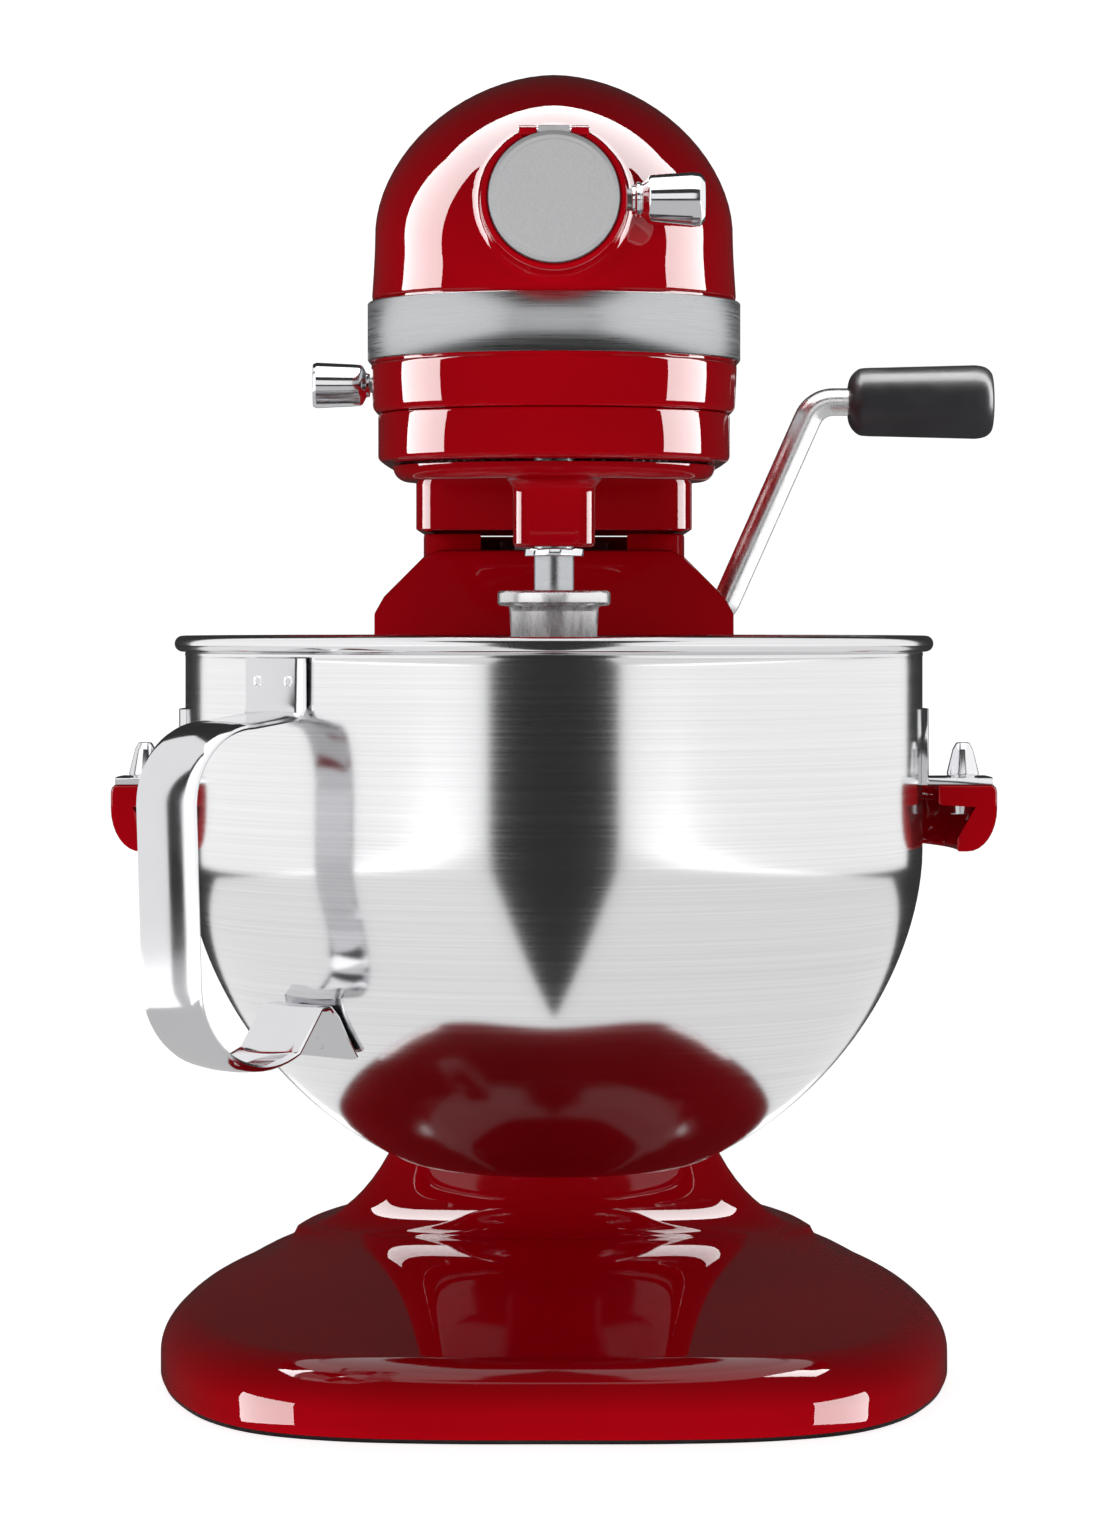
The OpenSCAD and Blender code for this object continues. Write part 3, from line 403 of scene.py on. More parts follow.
def widest_x(z):
    """Half width of the head's widest section at height z."""
    if z <= SIDE_Z:
        return HEAD_HALF - 0.0013 * (z - SIDE_Z) ** 2
    t = min(1, (z - SIDE_Z) / (SPRING_Z - SIDE_Z))
    shoulder = HEAD_HALF - SHOULDER_IN * t * t * (3 - 2 * t)
    rise = max(0, min(1, (z - SPRING_Z) / (HEAD_TOP - SPRING_Z)))
    return shoulder * (1 - rise ** ARCH_POWER) ** (1 / ARCH_POWER)


GROOVE = 0.8
GROOVE_DEPTH = 1.0
FOOT_ROUND = 2.2
BAND_Z = (band_low[2], band_high[2])
LOW_LEVELS = (
    [(SPLIT_Z + FOOT_ROUND * (1 - math.cos(a)), FOOT_ROUND * (1 - math.sin(a)))
     for a in (0, 0.4, 0.8, 1.2, math.pi / 2)]
    + [(z, 0) for z in (SPLIT_Z + 6, SPLIT_Z + 10, BAND_Z[0] - GROOVE - 1.2)]
    + [(BAND_Z[0] - GROOVE - 0.3, 0.2), (BAND_Z[0] - GROOVE, GROOVE_DEPTH), (BAND_Z[0], GROOVE_DEPTH),
       (BAND_Z[0] + 0.3, 0.1), (BAND_Z[0] + 6, 0), (BAND_Z[1] - 6, 0), (BAND_Z[1] - 0.3, 0.1),
       (BAND_Z[1], GROOVE_DEPTH), (BAND_Z[1] + GROOVE, GROOVE_DEPTH), (BAND_Z[1] + GROOVE + 0.3, 0.2),
       (BAND_Z[1] + GROOVE + 1.2, 0)])
ARCH_STEPS = 26


def head_ring(y, wall=0.0, trim=0.0):
    """Closed ring of the head at station y, thinned by wall and drawn in by trim at a seam."""
    width = max(0, head_width(y) - wall - trim) / HEAD_HALF
    low = SPLIT_Z + wall
    high = head_crown(y) - wall - trim
    tall = (high - low) / (HEAD_TOP - SPLIT_Z)

    def level(z):
        return SPLIT_Z + (z - low) / tall

    half = []
    for z, inset in LOW_LEVELS:
        height = low + (z - SPLIT_Z) * (1 if not wall else 0.98)
        x = widest_x(level(height)) * width
        half.append((max(0, x - (inset if not wall else 0)), height))
    start = level(half[-1][1])
    pace = 40
    first = (start - SPRING_Z) / pace if start < SPRING_Z else math.asin(
        min(1, ((start - SPRING_Z) / (HEAD_TOP - SPRING_Z)) ** (ARCH_POWER / 2)))
    for k in range(1, ARCH_STEPS + 1):
        a = first + (math.pi / 2 - first) * k / ARCH_STEPS
        z = SPRING_Z + (pace * a if a < 0 else (HEAD_TOP - SPRING_Z) * math.sin(a) ** (2 / ARCH_POWER))
        half.append((widest_x(z) * width, low + (z - SPLIT_Z) * tall))
    left = [(-x, z) for x, z in reversed(half[:-1])]
    return [(x, y, z) for x, z in half + left]


def nose_stations(steps):
    return [NOSE_Y - NOSE_LEN * math.sin(math.pi / 2 * k / steps) for k in range(1, steps + 1)]


def head_shell():
    body = [HEAD_REAR - 9 * k for k in range(1, 22) if HEAD_REAR - 9 * k > NOSE_Y + 3]
    rings = [head_ring(HEAD_REAR, 0, 0.9), head_ring(HEAD_REAR - 0.25, 0, 0.35), head_ring(HEAD_REAR - 1)]
    rings += [head_ring(y) for y in body + [NOSE_Y] + nose_stations(26)]
    shell = loft("head_shell", rings)
    inner = [head_ring(y, HEAD_WALL) for y in [HEAD_REAR + 2] + body + [NOSE_Y, -30, -42, -52, -60, -66]]
    deep = SPLIT_Z - 3
    return cut(
        shell,
        loft("inside", inner),
        rod("planetary_opening", 52, (0, 0, deep), 9, segments=128),
        block("gear_opening", (-40, 98, deep), (40, 166, SPLIT_Z + 6)),
        rod("second_shaft_opening", 15, (-27, 45, deep), 9),
        rod("hub_opening", 21, (0, BOSS_FACE - 2, HUB_Z), 60, "Y", 96),
        block("speed_slot", (-66, 11.5, 317.1), (-50, 65.5, 322.9), 1.2),
    )


def surface_y(x, z):
    """Station where the head's nose reaches the point x, z seen from the front."""
    low, high = HEAD_FRONT, 20.0
    for _ in range(30):
        y = (low + high) / 2
        tall = (head_crown(y) - SPLIT_Z) / (HEAD_TOP - SPLIT_Z)
        level = SPLIT_Z + (z - SPLIT_Z) / tall
        inside = level < HEAD_TOP and abs(x) < widest_x(level) * head_width(y) / HEAD_HALF
        low, high = (low, y) if inside else (y, high)
    return high


def hub_boss():
    """Round boss with a filleted root that follows the nose."""
    root = 3.4
    steps = 8
    rings = []
    for k in range(144):
        a = 2 * math.pi * k / 144
        c, s = math.cos(a), math.sin(a)
        front = [(20.35, BOSS_FACE + 0.5), (20.9, BOSS_FACE), (BOSS_R - 1.3, BOSS_FACE),
                 (BOSS_R - 0.38, BOSS_FACE + 0.38), (BOSS_R, BOSS_FACE + 1.3)]
        flare = []
        for j in range(steps + 1):
            t = math.pi / 2 * j / steps
            r = BOSS_R + root * (1 - math.cos(t))
            y = surface_y(r * c, HUB_Z + r * s)
            flare.append((r, y - root * (1 - math.sin(t)) + 0.05))
        back = surface_y((BOSS_R + root) * c, HUB_Z + (BOSS_R + root) * s) + 2.5
        profile = front + flare + [(BOSS_R + root - 1, back), (20.35, back)]
        rings.append([(r * c, y, HUB_Z + r * s) for r, y in profile])
    boss = loft("hub_boss_casting", rings, wrap=True, angle=40)
    ear_y, ear_z = middle("hub_cover_pin")
    clamp_y = middle("clamp_screw")[0]
    cut(boss,
        block("hinge_notch", (-10, BOSS_FACE - 2, ear_z - 1.95), (10, BOSS_FACE + 7.2, ear_z + 8), 0.4),
        rod("clamp_hole", 3.5, (15, clamp_y, HUB_Z), 20, "X"))
    ears = [rod("ear", 1.7, (s * 8 - 2.7, ear_y, ear_z), 5.4, "X", 32) for s in (-1, 1)]
    return boss, ears


def neck_casting():
    low_z = corners("head_housing")[0][2]
    outer = [(-47.9, 92, 12), (47.9, 92, 12), (47.9, 206, 12), (-47.9, 206, 12)]
    inner = [(-43, 97, 8), (43, 97, 8), (43, 201, 8), (-43, 201, 8)]
    out = fillet(outer, 8)
    hole = fillet(inner, 8)
    rings = [[(x, y, z) for x, y in points] for points, z in
             ((out, SPLIT_Z + 1), (out, low_z + 0.5))]
    edge = [[((x * 0.988), 149 + (y - 149) * 0.99, low_z) for x, y in out]]
    inside = [[(x, y, z) for x, y in hole] for z in (low_z, SPLIT_Z + 1)]
    return loft("head_neck", rings + edge + inside, wrap=True)


def join(name, *parts):
    """One object from several of this script's own, kept as separate shells."""
    bm = bmesh.new()
    for part in parts:
        bm.from_mesh(part.data)
    mesh = bpy.data.meshes.new(name)
    bm.to_mesh(mesh)
    bm.free()
    for part in parts:
        bpy.data.objects.remove(part)
    return shade(place(bpy.data.objects.new(name, mesh)))


def head_housing(mat):
    boss, ears = hub_boss()
    finish_piece(head_shell(), mat, "frame", "head_housing")
    for piece in (boss, join("hub_cover_ears", *ears), neck_casting()):
        finish_piece(piece, mat, "frame", slot="enamel")


def plan_outline(inset, y_rear, steps=30):
    """Plan of the head from the rear left, round the nose, to the rear right."""
    stations = [y_rear - (y_rear - NOSE_Y) * k / 12 for k in range(12)] + [NOSE_Y] + nose_stations(steps)
    right = []
    for y in stations:
        x = head_width(y)
        pull = inset * (x / HEAD_HALF if y < NOSE_Y else 1)
        push = inset * ((NOSE_Y - y) / NOSE_LEN if y < NOSE_Y else 0)
        right.append((max(0, x - pull), y + push))
    return right + [(-x, y) for x, y in reversed(right[:-1])]


def trim_band(mat):
    rings = []
    inner = plan_outline(0.1, HEAD_REAR - 0.5, 40)
    outer = plan_outline(-BAND_PROUD + 0.02, HEAD_REAR - 0.5, 40)
    z0, z1 = BAND_Z
    lip = 0.4
    for (ix, iy), (ox, oy) in zip(inner, outer):
        mx, my = ox + (ix - ox) * lip, oy + (iy - oy) * lip
        rings.append([(ix, iy, z0), (mx, my, z0), (ox, oy, z0 + lip),
                      (ox, oy, z1 - lip), (mx, my, z1), (ix, iy, z1)])
    finish_piece(loft("trim_band_strip", rings, angle=50), mat, "frame", "trim_band")


def lower_gearcase(mat):
    rear = CASE_HIGH[1]
    low = CASE_LOW[2]
    edge = 1.9

    def ring(z, inset):
        points = plan_outline(2.4 + inset, rear, 26)
        return [(x, y, z) for x, y in points]

    corner = [(edge * (1 - math.sin(a)), edge * (1 - math.cos(a)))
              for a in [k * math.pi / 12 for k in range(7)]]
    rings = [ring(low + dz, inset) for inset, dz in corner]
    top = CASE_HIGH[2]
    rings += [ring(top - 1.2, 0), ring(top - 0.35, 0.35), ring(top, 1.2)]
    case = loft("gearcase_shell", rings)
    tools = [
        rod("planetary_recess", 50.3, (0, 0, low - 2), 12, segments=160),
        rod("bearing_bore", 13.05, (0, 0, SPLIT_Z - 8), 10),
        rod("second_shaft_bore", 7.05, (-27, 45, 303), 8),
        block("weight_pocket", (-36, 58, 296), (36, 84, 320)),
    ]
    for x, y in ((27, -57), (-27, -57), (42, 76), (-42, 76)):
        tools += [rod("bolt_hole", 2.05, (x, y, low - 1), 22, segments=32),
                  rod("counterbore", 4.3, (x, y, low - 1), 4, segments=32)]
    finish_piece(cut(case, *tools), mat, "frame", "lower_gearcase")


def rear_cover(mat):
    """Dome behind the head with cooling slots and the boss of its one screw."""
    centre_z = 352
    steps = 22
    base = head_ring(HEAD_REAR)

    def dome(k, wall, lean=0.0):
        a = math.pi / 2 * k / steps
        y = HEAD_REAR + 0.3 + (COVER_REAR - HEAD_REAR - 0.3) * math.sin(a)
        s = math.sqrt(max(0, 1 - ((y - HEAD_REAR) / 37) ** 2.4))
        ring = []
        for x, _, z in base:
            far = math.hypot(x, z - centre_z)
            scale = s - (wall + lean) / far
            ring.append((x * scale, y, centre_z + (z - centre_z) * scale))
        return ring

    rings = [dome(0, 0, 0.8), dome(0.35, 0, 0.1)] + [dome(k, 0) for k in range(1, steps + 1)]
    shell = loft("rear_cover_shell", rings)
    inner = [dome(k, 3) for k in range(0, steps - 4)]
    inner.insert(0, [(x, HEAD_REAR - 2, z) for x, _, z in inner[0]])
    cut(shell, loft("inside", inner))
    post = rod("post", 5, (0, 173.3, 322), 41, "Y")
    cut(shell, post, operation="UNION")
    slots = [block("slot", (-20, 198, z), (20, 228, z + 2), 0.8) for z in range(334, 365, 5)]
    cut(shell, rod("screw_hole", 2.1, (0, 172, 322), 60, "Y", 32),
        rod("screw_recess", 4.2, (0, 213, 322), 20, "Y", 48), *slots)
    finish_piece(shell, mat, "frame", "rear_cover")


# ---- Pedestal ----

BASE_HALF = [(0, -155.5), (34, -155), (64, -150.5), (88, -138.5), (104, -117.5), (114.5, -90), (121.5, -60),
             (125.4, -26), (124.8, 14), (120.8, 62), (112.6, 110), (101, 157), (79, 198), (42, 218), (0, 221)]
COLUMN_C = (0, 174)
COLUMN_HALF = (46.8, 36.5)
COLUMN_POWER = 7
EDGE_Z, SHOULDER_Z, SHOULDER_W, FLARE_W, FLARE_H = 9, 22.5, 24, 52, 78


def pedestal_ring(part, f, wall, spread):
    """Ring of the casting, as the design names its stretches; spread opens the ring out by that much."""
    ring = []
    outline = catmull(BASE_HALF + [(-x, y) for x, y in BASE_HALF[-2:0:-1]], 7, closed=True)
    for x, y in outline:
        vx, vy = x - COLUMN_C[0], y - COLUMN_C[1]
        far = math.hypot(vx, vy)
        ux, uy = vx / far, vy / far
        reach = ((abs(ux) / COLUMN_HALF[0]) ** COLUMN_POWER
                 + (abs(uy) / COLUMN_HALF[1]) ** COLUMN_POWER) ** (-1 / COLUMN_POWER)
        edge, inner = far - wall, reach - wall
        gap = edge - inner
        sw, fw = min(SHOULDER_W, 0.3 * gap), min(FLARE_W, 0.66 * gap)
        top = SHOULDER_Z - 0.9 * wall
        flare_z = top + 5.5
        a = f * math.pi / 180
        if part == "edge":
            r, z = edge, f
        elif part == "shoulder":
            r, z = edge - sw * (1 - math.cos(a)), EDGE_Z + (top - EDGE_Z) * math.sin(a)
        elif part == "flat":
            r, z = (edge - sw) * (1 - f) + (inner + fw) * f, top + (flare_z - top) * f
        elif part == "flare":
            r = inner + fw * (1 - math.sin(a))
            z = flare_z + (FLARE_H + 0.9 * wall * f / 90) * (1 - math.cos(a))
        else:
            r, z = inner, f
        ring.append((COLUMN_C[0] + ux * (r + spread), COLUMN_C[1] + uy * (r + spread), z))
    return ring


def pedestal(mat):
    bottom, top, wall = CASTING_LOW[2], CASTING_HIGH[2], 5
    stations = [("edge", bottom, 0, -1), ("edge", bottom + 0.3, 0, -0.3)]
    stations += [("edge", z, 0, 0) for z in (bottom + 1, 5, 7, EDGE_Z)]
    stations += [("shoulder", f, 0, 0) for f in range(6, 91, 6)]
    stations += [("flat", f / 8, 0, 0) for f in range(1, 8)]
    stations += [("flare", f, 0, 0) for f in range(0, 91, 5)]
    stations += [("column", z, 0, 0) for z in (130, 160, 200, 240, top - 1)]
    stations += [("column", top - 0.3, 0, -0.3), ("column", top, 0, -1)]
    stations += [("column", z, wall, 0) for z in (top, 200, 130)]
    stations += [("flare", f, wall, 0) for f in range(90, -1, -10)]
    stations += [("shoulder", f, wall, 0) for f in (90, 45, 0)]
    stations += [("edge", bottom, wall, 0)]
    shell = loft("pedestal_casting", [pedestal_ring(*station) for station in stations], wrap=True)
    tools = [
        block("front_window", (-26, 130, 200), (26, 152, 280)),
        rod("lever_hole", 10.05, (35, 158, 242), 20, "X"),
        rod("inlet_hole", 6.05, (0, 190, 48), 40, "Y"),
    ]
    low, high = corners("guide_rails")
    for x in (-30, 30):
        tools.append(block("rail_seat", (x - 4.05, 136, low[2] - 0.1), (x + 4.05, 138.6, high[2] + 0.1)))
    cut(shell, *tools, angle=40)
    finish_piece(shell, mat, "frame", "pedestal")


# ---- Hub cover, knobs and lever ----

def hub_cover(satin):
    low, high = corners("hub_cover")
    front = low[1]
    back = BOSS_FACE - 0.35
    disc = lathe("hub_cover_disc", fillet([
        (0, back), (20, back, 0.3), (20, back - 1.3, 0.35), (18.7, front + 0.1, 0.5),
        (17.6, front + 0.12, 0.3), (17.2, front, 0.3), (0, front)], 4), (0, 0, HUB_Z), "Y", 160)
    ear_y, ear_z = middle("hub_cover_pin")
    knuckle = rod("knuckle", 1.8, (-4.8, ear_y, ear_z), 9.6, "X", 48)
    arm = block("knuckle_arm", (-4.8, back - 0.6, ear_z - 1.8), (4.8, ear_y + 0.5, ear_z + 1.6), 0.3)
    finish_piece(join("hub_cover_plate", disc, arm, knuckle), satin, "hub_door", "hub_cover")


def clamp_knob(mat):
    low, high = corners("clamp_knob")
    y, z = middle("clamp_knob")
    x = low[0]
    radius = (high[2] - low[2]) / 2
    outline = fillet([
        (3.45, x, 0), (4.5, x, 0.3), (4.5, x + 1.1, 0.2), (5.5, x + 1.5, 0.3), (5.5, x + 2.5, 0.3),
        (4.9, x + 3, 0.4), (7.6, x + 5.4, 1.6), (radius, x + 18.6, 1.2), (radius - 0.35, x + 21.2, 1.1),
        (6.4, high[0] - 0.05, 0.4), (5.9, high[0] - 0.35, 0.3), (0, high[0] - 0.2, 0),
        (0, x + 14.5, 0), (3.45, x + 14.5, 0)], 5)
    finish_piece(lathe("clamp_knob_turned", outline, (0, y, z), "X", 128), mat, "clamp_grip", "clamp_knob")


def speed_knob(mat):
    low, high = corners("speed_knob")
    y, z = middle("speed_knob")
    x = high[0]
    wide = (high[2] - low[2]) / 2
    length = x - low[0]
    outline = fillet([
        (2.55, x, 0), (3.9, x, 0.3), (4.1, x - 1.2, 0.3), (6.9, x - 2.6, 1.8), (7.15, x - 6, 1.5),
        (wide, x - length + 1.3, 0.9), (wide - 0.5, x - length + 0.1, 0.4), (wide - 1.6, x - length, 0.3),
        (0, x - length + 0.2, 0), (0, x - length + 6, 0), (2.55, x - length + 6, 0)], 5)
    finish_piece(lathe("speed_knob_turned", outline, (0, y, z), "X", 96), mat, "speed_control", "speed_knob")


def bent_tube(name, path, radius, across, sides=40):
    """Round rod along a plane path of points; across is the plane's normal."""
    pts = [Vector(p) for p in path]
    side = Vector(across).normalized()
    rings = []
    for i, p in enumerate(pts):
        along = (pts[min(i + 1, len(pts) - 1)] - pts[max(i - 1, 0)]).normalized()
        up = side.cross(along)
        rings.append([tuple(p + radius * (math.cos(a) * side + math.sin(a) * up))
                      for a in [2 * math.pi * k / sides for k in range(sides)]])
    return loft(name, rings)


LEVER_Y, LEVER_Z, LEVER_ROD, LEVER_BEND, LEVER_LEAN = 158, 242, 10, 10, math.radians(24)


def lift_lever(mat, grip_mat):
    grip_low, grip_high = corners("lever_grip")
    grip_z = middle("lever_grip")[1]
    turn = math.pi / 2 - LEVER_LEAN
    rise = (grip_z - LEVER_Z - 2 * LEVER_BEND * (1 - math.cos(turn))) / math.sin(turn)
    low = (53, LEVER_Z + LEVER_BEND)
    high = (low[0] + 2 * LEVER_BEND * math.sin(turn) + rise * math.cos(turn), grip_z - LEVER_BEND)
    path = [(50, LEVER_Z)]
    path += [(low[0] + LEVER_BEND * math.sin(a), low[1] - LEVER_BEND * math.cos(a))
             for a in [turn * k / 10 for k in range(11)]]
    path += [(high[0] - LEVER_BEND * math.sin(a), high[1] + LEVER_BEND * math.cos(a))
             for a in [turn * (1 - k / 10) for k in range(11)]]
    path += [(grip_low[0] + 40, grip_z)]
    tube = bent_tube("lever_rod", [(x, LEVER_Y, z) for x, z in path], LEVER_ROD / 2 - 0.02, (0, 1, 0))
    finish_piece(tube, mat, "lift_handle", "lift_lever")
    x0, x1 = grip_low[0], grip_high[0]
    radius = (grip_high[2] - grip_low[2]) / 2
    profile = [(LEVER_ROD / 2, x0 + 0.6), (6.2, x0), (9, x0 + 0.9), (11.3, x0 + 3), (12.2, x0 + 5.6),
               (12.45, x0 + 14), (12.8, x0 + 28), (radius - 0.05, x0 + 42), (radius, x0 + 46),
               (radius - 0.7, x0 + 49.2), (radius - 2.3, x0 + 51.2), (radius - 4.6, x1 - 0.1),
               (4, x1), (0, x1)]
    curve = [(max(0, r), h) for r, h in catmull(profile, 5)]
    grip = lathe("lever_grip_moulded", curve + [(0, x0 + 44), (LEVER_ROD / 2, x0 + 44)],
                 (0, LEVER_Y, grip_z), "X", 128)
    finish_piece(grip, grip_mat, "lift_handle", "lever_grip")


# ---- Planetary and beater ----

ORBIT_R = 30


def rounded_square(half, radius, z, steps=8):
    points = [(-half, -half, radius), (half, -half, radius), (half, half, radius), (-half, half, radius)]
    return [(x, y - ORBIT_R, z) for x, y in fillet(points, steps)]


def planetary_housing(mat):
    low, high = corners("planetary_housing")
    disc_z, disc_r = 285.5, high[0]
    edge = [(disc_r - 5 + 5 * math.cos(a), disc_z + 5 + 5 * math.sin(a))
            for a in [-math.pi / 2 + math.pi / 2 * k / 8 for k in range(9)]]
    back = [(disc_r - 0.3, disc_z + 5.2), (7.05, disc_z + 5.2)]
    disc = lathe("planetary_cover", [(7.05, disc_z)] + edge + back, segments=192)
    hub = lathe("planetary_hub", [(7.05, disc_z + 5), (12, disc_z + 5), (12, 301), (7.05, 301)], segments=96)
    z0 = low[2]
    half = 13
    rings = [rounded_square(half - 3, 4.6, z0), rounded_square(half - 0.9, 6.4, z0),
             rounded_square(half - 0.35, 6.8, z0 + 0.3), rounded_square(half, 7, z0 + 0.9),
             rounded_square(half, 7, disc_z - 5)]
    flare = 4.5
    for k in range(1, 9):
        a = math.pi / 2 * k / 8
        grow = flare * (1 - math.cos(a))
        rings.append(rounded_square(half + grow, 7 + grow, disc_z - flare * (1 - math.sin(a)) + 0.04))
    rings.append(rounded_square(half - 1, 6, disc_z + 3))
    boss = loft("planetary_boss", rings)
    for piece in (boss, disc):
        cut(piece, rod("shaft_bore", 9.02, (0, -ORBIT_R, z0 - 2), 40, segments=96))
    finish_piece(join("planetary_casting", disc, hub, boss), mat, "planetary", "planetary_housing")


BEATER_FOOT = corners("flat_beater")[0][2]
BEATER_TOP = corners("flat_beater")[1][2]
BLADE_RIBS = ((188, 179, 146, 137), (140, 131, 98, 89))


def bowl_outer(z):
    if z >= WALL_FOOT:
        return BOWL_R
    return BOWL_R * math.sqrt(max(0, 1 - ((WALL_FOOT - z) / 110.6) ** 1.8))


def blade_half(z, inset):
    return min(76 - inset, bowl_outer(z - 2) - SHEET_T - ORBIT_R - 4.2 - inset)


def blade_outline(low, high, inset):
    levels = [low + dz for dz in (0, 1.5, 3, 5, 8, 12, 17, 24, 32, 42, 55, 70, 85)] + [172]
    right = [(blade_half(z, inset), z) for z in levels]
    right += [(12 + (64 - inset) * math.cos(a), 172 + (high - 172) * math.sin(a))
              for a in [math.pi / 2 * k / 14 for k in range(1, 15)]]
    return right + [(-x, z) for x, z in reversed(right)]


def prism(name, outline, y0, y1):
    """Plate whose outline lies in XZ."""
    return loft(name, [[(x, y0, z) for x, z in outline], [(x, y1, z) for x, z in outline]])


def flat_beater(mat):
    """Cast blade with a rounded section, a V of ribs, and the collar that locks on the shaft's pin."""
    y0, y1 = -ORBIT_R - 3.5, -ORBIT_R + 3.5
    blade = prism("beater_blade", blade_outline(BEATER_FOOT, 224, 0), y0, y1)
    hole = prism("hole", blade_outline(BEATER_FOOT + 9, 214, 9), y0 - 2, y1 + 2)
    keep = [block("stem", (-5.5, y0 - 3, BEATER_FOOT), (5.5, y1 + 3, 226))]
    for top, low, out_top, out_low in BLADE_RIBS:
        for s in (-1, 1):
            rib = [(0, top), (0, low), (s * 80, out_low), (s * 80, out_top)]
            keep.append(prism("rib", rib if s > 0 else rib[::-1], y0 - 3, y1 + 3))
    cut(hole, *keep)
    cut(blade, hole)
    bevel = blade.modifiers.new("bevel", "BEVEL")
    bevel.width = 2.4 * MM
    bevel.segments = 4
    bevel.limit_method = "ANGLE"
    bevel.angle_limit = math.radians(50)
    bake(blade)
    shade(blade, 50)
    top = BEATER_TOP
    collar = lathe("beater_collar", fillet([
        (6.45, 212, 0), (10.5, 212, 1.5), (12.6, 216, 2), (14.2, top - 6.6, 0.6), (14.4, top - 5, 0.3),
        (17.2, top - 4.8, 0.4), (18, top - 4, 0.7), (18, top - 0.9, 0.6), (17.3, top, 0.5),
        (6.45, top, 0.3)], 4),
        (0, -ORBIT_R, 0), segments=128)
    cut(collar, block("pin_slot", (-10.2, -ORBIT_R - 2, 238), (10.2, -ORBIT_R + 2, 242)))
    cut(blade, rod("shaft_hole", 6.45, (0, -ORBIT_R, 226), 30))
    finish_piece(join("beater_casting", blade, collar), mat, "beater", "flat_beater")


# ---- Bowl ----

def bowl(mat):
    outer = [(0, BOWL_BOTTOM), (40, BOWL_BOTTOM), (44, BOWL_BOTTOM + 0.02), (45.6, BOWL_BOTTOM + 0.35)]
    steps = 34
    for k in range(1, steps + 1):
        z = BOWL_BOTTOM + 0.9 + (WALL_FOOT - BOWL_BOTTOM - 0.9) * (k / steps) ** 1.35
        outer.append((bowl_outer(z), z))
    lift = [WALL_FOOT + (BOWL_TOP - 9 - WALL_FOOT) * k / 8 for k in range(1, 9)]
    outer += [(BOWL_R, z) for z in lift]
    neck = [(BOWL_R, BOWL_TOP - 6.6), (BOWL_R + 0.25, BOWL_TOP - 5.9)]
    roll_c = (BOWL_R + RIM_PROUD - RIM_R, BOWL_TOP - RIM_R)
    roll = [(roll_c[0] + RIM_R * math.cos(a), roll_c[1] + RIM_R * math.sin(a))
            for a in [math.radians(-118 + k * 14) for k in range(20)]]
    inner_top = [(BOWL_R - SHEET_T, BOWL_TOP - 5.2), (BOWL_R - SHEET_T, BOWL_TOP - 9)]
    inner = []
    for i in range(len(outer) - 1, -1, -1):
        r, z = outer[i]
        t = (z - BOWL_BOTTOM) / (WALL_FOOT - BOWL_BOTTOM)
        lean = 0 if t >= 1 else math.radians(90 * max(0, 1 - t) ** 0.62)
        inner.append((max(0, r - SHEET_T * math.cos(lean)) if r else 0, z + SHEET_T * math.sin(lean)))
    outline = outer + neck + roll + inner_top + [p for p in inner if p[1] < BOWL_TOP - 9.5]
    finish_piece(lathe("bowl_spun", outline, segments=256, angle=60), mat, "bowl_carrier", "bowl")


HANDLE_TURN = math.radians(225)
STRAP_W, STRAP_T = 27, 2.2


def handle_point(r, across, z):
    c, s = math.cos(HANDLE_TURN), math.sin(HANDLE_TURN)
    return (r * c - across * s, r * s + across * c, z)


